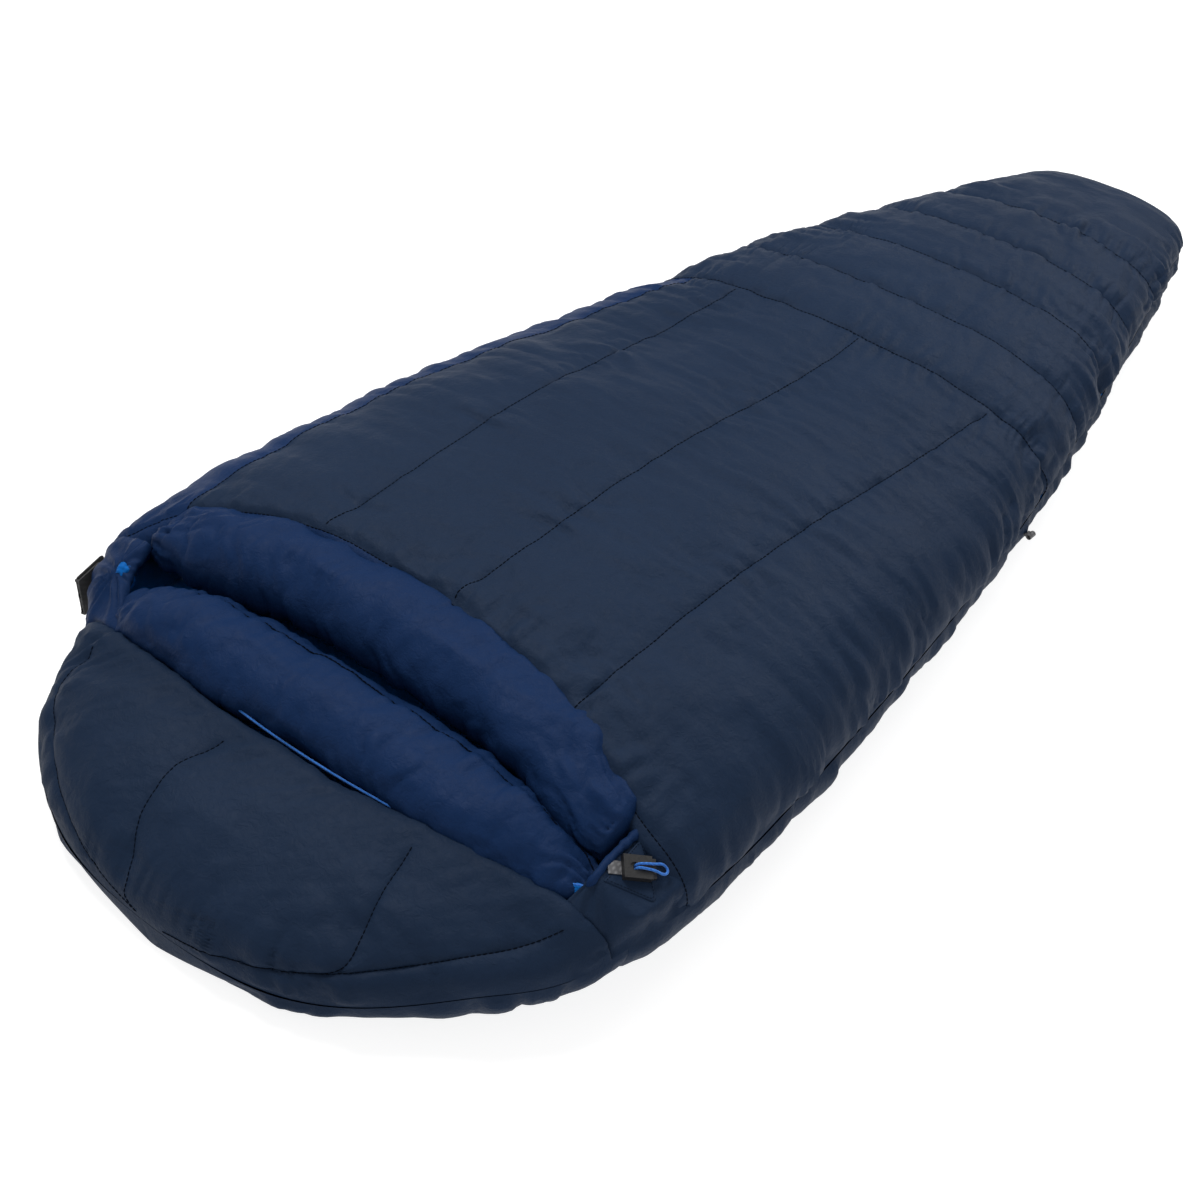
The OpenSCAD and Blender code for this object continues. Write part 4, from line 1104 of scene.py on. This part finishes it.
# The cord's route, as in the CAD: along the hood's rim, through its channel, up through the lock and back
CORD_D = 0.0032
CHANNEL_Z, LOCK_TOP, STRAND_X = 2.6, 10.6, -2.5
LOCK_TURN = math.radians(48)
LOOP_SIDE = [(STRAND_X, 2, LOCK_TOP + 2.6), (9, 3, LOCK_TOP + 2.8), (20, 4, LOCK_TOP + 1.4),
             (28, 6.4, LOCK_TOP - 1), (34, 5, LOCK_TOP - 3.4)]


def turned_pt(x, y, z):
    """Point in metres from millimetres in the lock's frame, turned as the lock lies on its patch."""
    dx = x - STRAND_X
    return LOCK.at(STRAND_X + dx * math.cos(LOCK_TURN) - y * math.sin(LOCK_TURN),
                   dx * math.sin(LOCK_TURN) + y * math.cos(LOCK_TURN), z)


def cord_route():
    arc = Arc(0.20, 0.32, 0.008)
    route = []
    for x in range(-360, 361, 60):
        y = np.array([(226 + 48 * min(1.1, abs(x) / 400)**2 + 3.4) / 1000])
        route.append(dome(y, arc.angle(y, arc.fraction(y, np.array([x / 1000]))), np.array([0.008]))[0])
    route += [[0.398, 0.291 - HALF, 0.151], LOCK.at(STRAND_X, -44, -CHANNEL_Z)]
    route += [turned_pt(STRAND_X, -2, -CHANNEL_Z)]
    route += [turned_pt(x, -y, z) for x, y, z in LOOP_SIDE] + [turned_pt(37, 0, LOCK_TOP - 4.2)]
    route += [turned_pt(x, y, z) for x, y, z in LOOP_SIDE[::-1]] + [turned_pt(STRAND_X, 2, -CHANNEL_Z)]
    return resample(rounded(route, 3), 0.0022)


piece("drawcord", *tube(cord_route(), CORD_D / 2, 10), "blue_cord", "bag_base", ["hood_drawcord"])

# Binding along the open edge of the right side of the neck
edge_line = right_side[:, NECK_COLS - 1]
edge_line = resample(rounded(edge_line[edge_line[:, 1] + HALF > 0.292], 2), 0.003)
t = np.linspace(0, 1, len(edge_line))
radius = 0.0055 + 0.0012 * noise(t / 0.05, 0, 0, 5)
shape = tube(edge_line + np.array([-0.9, 0, 0.2]) * 0.003, 1.0, 14,
             radius * np.minimum(1, np.minimum(t, 1 - t) / 0.06 + 0.25))
piece("neck_binding_right", *shape, "mid_blue_shell", "bag_base", (), 0.7)


def tuck(name, centre, size, turn, seed):
    """A pinched handful of lining that shows between two gathers."""
    n, m = 22, 34
    a = np.linspace(0.02, math.pi - 0.02, n)[:, None]
    b = np.linspace(0, 2 * math.pi, m, endpoint=False)[None, :]
    shape = np.stack(np.broadcast_arrays(np.cos(a) + 0 * b, np.sin(a) * np.cos(b), np.sin(a) * np.sin(b)), -1)
    crease = np.abs(noise(b * 3.2 + 0 * a, np.cos(a) * 1.4, 0, seed))**0.7
    shape = shape * (0.80 + 0.34 * crease)[..., None] * np.array(size)
    c, s = math.cos(turn), math.sin(turn)
    P = shape @ np.array([[c, s, 0], [-s, c, 0], [0, 0, 1]]) + np.array(centre)
    piece(name, P, ring_faces(n, m, True), "bright_blue_lining", "bag_base", (), 0.6)


tuck("lining_tuck_left", (-0.397, 0.307 - HALF, 0.150), (0.012, 0.011, 0.022), 0.6, 7)
tuck("lining_tuck_right", (0.402, 0.291 - HALF, 0.143), (0.014, 0.007, 0.009), 0.5, 9)

# Edge of the hood lining, just inside the rim
rim_row = hood["P"][-3]
rim_row = rim_row[int(0.19 * len(rim_row)):int(0.84 * len(rim_row))]
rim_line = resample(rim_row, 0.004) + np.array([0, 0.004, -0.001])
t = np.linspace(0, 1, len(rim_line))
shape = tube(rim_line, 0.0032, 10, 1 + 0.25 * noise(t / 0.03, 0, 0, 3))
piece("hood_lining_edge", *shape, "bright_blue_lining", "bag_base")


# ---------------------------------------------------------------- zip

TRACK_TURN = math.atan(TRACK_SLOPE)
TRACK = Place((-TRACK_X0, TRACK_Y0 - HALF, SEAM_H), (math.cos(TRACK_TURN), -math.sin(TRACK_TURN), 0),
              (math.sin(TRACK_TURN), math.cos(TRACK_TURN), 0), UP)


def zip_tape(name, node, sign, body):
    """The tape sewn between the straight track and the curved rim of the cloth."""
    n = 150
    rows = []
    for k in range(n):
        y = 2 + 1146 * k / (n - 1)
        a, b = TRACK.at(0.6, y, 1.5 * sign), TRACK.at(0.6, y, 6.65 * sign)
        rim_y = b[1] + HALF
        w = float(half_w(rim_y))
        rim = np.array([0.006 - w + float(drawn_in(rim_y, np.array(-w))), b[1], SEAM_H + sign * 0.0069])
        rows.append([a, b] + [b + (rim - b) * t + UP * sign * 0.0002 * math.sin(math.pi * t + y / 17)
                              for t in (0.2, 0.4, 0.6, 0.8, 1.0)])
    P = np.array(rows)
    half_thick = np.zeros_like(P)
    half_thick[:, 0:2] = TRACK.x * 0.0004
    half_thick[:, 2:] = UP * sign * 0.0004
    ring = np.concatenate([P + half_thick, (P - half_thick)[:, ::-1]], 1)
    piece(name, ring, ring_faces(*ring.shape[:2], sign > 0), "black_webbing", body, [node])


def zip_coil(name, node, sign, body):
    """The coil of teeth along one tape."""
    pitch = 1.5
    k = np.arange(int(1110 / pitch) * 6)
    a = k * 2 * math.pi / 6
    turns = zip(0.6 + 0.95 * np.cos(a), 20 + k * pitch / 6, sign * (2.3 - 1.05 * np.sin(a)))
    piece(name, *tube(np.array([TRACK.at(*q) for q in turns]), 0.00034, 4), "black_plastic", body, [node])


zip_tape("zip_tape_upper", "zip_tape_top", 1, "top_quilt")
zip_tape("zip_tape_lower", "zip_tape_base", -1, "bag_base")
zip_coil("zip_coil_upper", "zip_chain_top", 1, "top_quilt")
zip_coil("zip_coil_lower", "zip_chain_base", -1, "bag_base")


def draft_tube():
    n, m = ((300, 36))
    start, stop = 90, 1120
    b = np.linspace(0, 2 * math.pi, m, endpoint=False)
    Yg, B = np.meshgrid(np.linspace(start, stop, n), b, indexing="ij")
    end = np.clip(np.minimum(Yg - start, stop - Yg) / 22, 0, 1)
    r = 13.2 * np.sqrt(np.clip(1 - (1 - end)**2, 0.01, 1))
    r = r + end * (1.1 * noise(Yg / 16, B * 0.9, 0, 3) + 1.0 * noise(Yg / 60, B * 0.5, 0, 4)
                   - 0.9 * np.exp(-np.abs(np.angle(np.exp(1j * (B - 1.9)))) / 0.15))
    P = TRACK.at((60 + r * np.cos(B))[..., None], Yg[..., None], (23 + r * np.sin(B))[..., None])
    faces = ring_faces(n, m, True)
    piece("draft_tube_cloth", P, faces, "mid_blue_shell", "top_quilt", ["zip_draft_tube"], 0.8)


draft_tube()

# Garage flap over the head end of the zip
GARAGE_TURN = math.radians(14.5)
GARAGE = Place((-0.477, 0.285 - HALF, 0.087), (math.cos(GARAGE_TURN), math.sin(GARAGE_TURN), 0),
               (-math.sin(GARAGE_TURN), math.cos(GARAGE_TURN), 0), UP)
FLAP_HALF_TALL = 31.0
FLAP_DEEP = 60.4
FLAP_CORNER = 9
FLAP_STITCH_LINE = [(6, -28), (48, -28), (56, -24), (58, -18), (58, 18), (56, 24), (48, 28), (6, 28)]


def garage_flap():
    """Folded black cloth with a bound edge; its hook tape faces the bag."""
    rows, cols = 26, 24
    P = np.empty((rows, cols, 3))
    Q = np.empty((rows, cols, 3))
    for i, j in np.ndindex(rows, cols):
        a, b = 2 * i / (rows - 1) - 1, j / (cols - 1)
        y = 2.4 + (FLAP_DEEP - 2.4) * b
        corner = max(0.0, (y - (FLAP_DEEP - FLAP_CORNER)) / FLAP_CORNER)
        z = a * (FLAP_HALF_TALL - FLAP_CORNER * (1 - math.sqrt(max(0, 1 - corner**2))))
        rim = min(1 - abs(a), 1 - b) * 14
        thick = 0.35 + 0.85 * min(1, rim / 0.5)
        bow = 0.35 * math.sin(math.pi * b) * math.cos(a * 1.4)
        P[i, j] = GARAGE.at(-1.2 - thick - bow, y, z)
        Q[i, j] = GARAGE.at(-1.2 + thick * 0.9, y, z)
    n = rows * cols
    outer = grid_faces(rows, cols)
    inner = [[k + n for k in face][::-1] for face in outer]
    number = np.arange(n).reshape(rows, cols)
    loop = [*number[0], *number[1:, -1], *number[-1, -2::-1], *number[-2:0:-1, 0]]
    border = [[loop[k], loop[k - 1], loop[k - 1] + n, loop[k] + n] for k in range(len(loop))]
    verts = np.concatenate([P.reshape(-1, 3), Q.reshape(-1, 3)])
    piece("garage_flap_cloth", verts, outer + inner + border, "black_webbing", "garage_flap", ["garage_flap"])
    line = resample(rounded([GARAGE.at(-2.6, y, z) for y, z in FLAP_STITCH_LINE], 2), 0.001)
    bits = Bits()
    stitches(bits, line, np.tile(-GARAGE.x, (len(line), 1)), **FINE)
    # Three tacks hold the flap to its hinge edge
    for z in (-25.5, 0, 25.5):
        bits.add(*tube([GARAGE.at(-1.2, 1.2, z + along_it) for along_it in (-3, 0, 3)], 0.0019, 12))
    bits.sew("garage_flap_stitches", "garage_flap")


garage_flap()


# ---------------------------------------------------------------- seams

# Long, thick stitches in the dark thread: besides the stitching they paint the seams' thin line of shade
LONG = dict(length=0.0052, gap=0.0016, r=0.0007)
STITCH_STEP = 0.002


def sew_along(bits, points, normals, **size):
    s = lengths(points)
    t = np.arange(0, s[-1], STITCH_STEP)
    stitches(bits, points_at(t, s, points), points_at(t, s, normals), **size)


def sew_collar():
    rings, sides = lower.shape[:2]
    j = np.round(seam_angle(eased(np.linspace(-1, 1, rings))) / (2 * math.pi) * sides).astype(int)
    normals = lower_N[np.arange(rings), j][6:-6]
    # The stitches sit just out of the groove, so their dark thread paints the seam's line of shade
    line = (lower + 0.0010 * lower_N)[np.arange(rings), j][6:-6]
    for _ in range(2):
        line[1:-1] = (line[:-2] + 2 * line[1:-1] + line[2:]) / 4
    bits = Bits()
    sew_along(bits, line, normals, length=0.0060, gap=0.0014, r=0.0008)
    bits.sew("collar_stitches", "bag_base")


def sew_surface(name, surface, body, rows, cross_rows=()):
    """Stitches along the seams between cells over some rows, and along whole rows."""
    P, N = surface["P"], surface["N"]
    bits = Bits()
    for k in range(1, 5):
        col = cell_columns(surface, k).start
        sew_along(bits, P[rows, col], N[rows, col], **LONG)
    for row in cross_rows:
        sew_along(bits, P[row], N[row], **LONG)
    bits.sew(name, body)


leg_rows = [quilt["mark"].index((c, 0)) for c in range(1, 6)]
sew_collar()
sew_surface("quilt_stitches", quilt, "top_quilt", slice(HEM + 1, leg_rows[0] + 1), leg_rows + [HEM])
sew_surface("hood_stitches", hood, "bag_base", slice(2, HOOD_ROWS - 1))


def hinge_gusset():
    """The cloth of the seam that joins the quilt's right side to the base."""
    n, m = 240, 6
    y = np.linspace(0.40, 1.66, n)
    w = half_w(y) - 0.0075
    columns_of_points = []
    for t in np.linspace(0, 1, m):
        x = w + 0.0022 * np.sin(math.pi * t) + drawn_in(y, w)
        columns_of_points.append(np.stack([x, y - HALF, base_top(y) - 0.0040 + 0.0090 * t], 1))
    outer = np.stack(columns_of_points, 1)
    inner = outer - np.array([0.0008, 0, 0])
    ring = np.concatenate([outer, inner[:, ::-1]], 1)
    obj = mesh_object("side_seam_cloth", ring, ring_faces(*ring.shape[:2], True), FINISHES["navy_shell"])
    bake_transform(obj)


hinge_gusset()


# ---------------------------------------------------------------- CAD parts that show, and the floor

BEVELLED = ("black_plastic", "slider_metal", "blue_plastic")
SLOT_OF = {part["node"]: part["material_slot"] for part in frame["record"]["subparts"]}
for node_name, node_obj in frame["nodes"].items():
    slot = SLOT_OF[node_name]
    node_obj.data.materials.clear()
    node_obj.data.materials.append(FINISHES[slot])
    if slot in BEVELLED and "chain" not in node_name:
        bevel = node_obj.modifiers.new("soft_edges", "BEVEL")
        bevel.width, bevel.segments, bevel.limit_method = 0.0005, 2, "ANGLE"
        bevel.angle_limit = math.radians(40)


def make_floor():
    m = Finish("white_floor")
    m.set(m.shader, {"Base Color": (0.34, 0.34, 0.34, 1), "Roughness": 0.9, "Emission Color": (1, 1, 1, 1),
                     "Emission Strength": 0.84})
    mesh = bpy.data.meshes.new("floor")
    corners = [(FLOOR_REACH * x, FLOOR_REACH * y, 0) for x, y in ((-1, -1), (1, -1), (1, 1), (-1, 1))]
    mesh.from_pydata(corners, [], [(0, 1, 2, 3)])
    mesh.materials.append(m.material)
    return link(bpy.data.objects.new("floor", mesh))


make_floor()
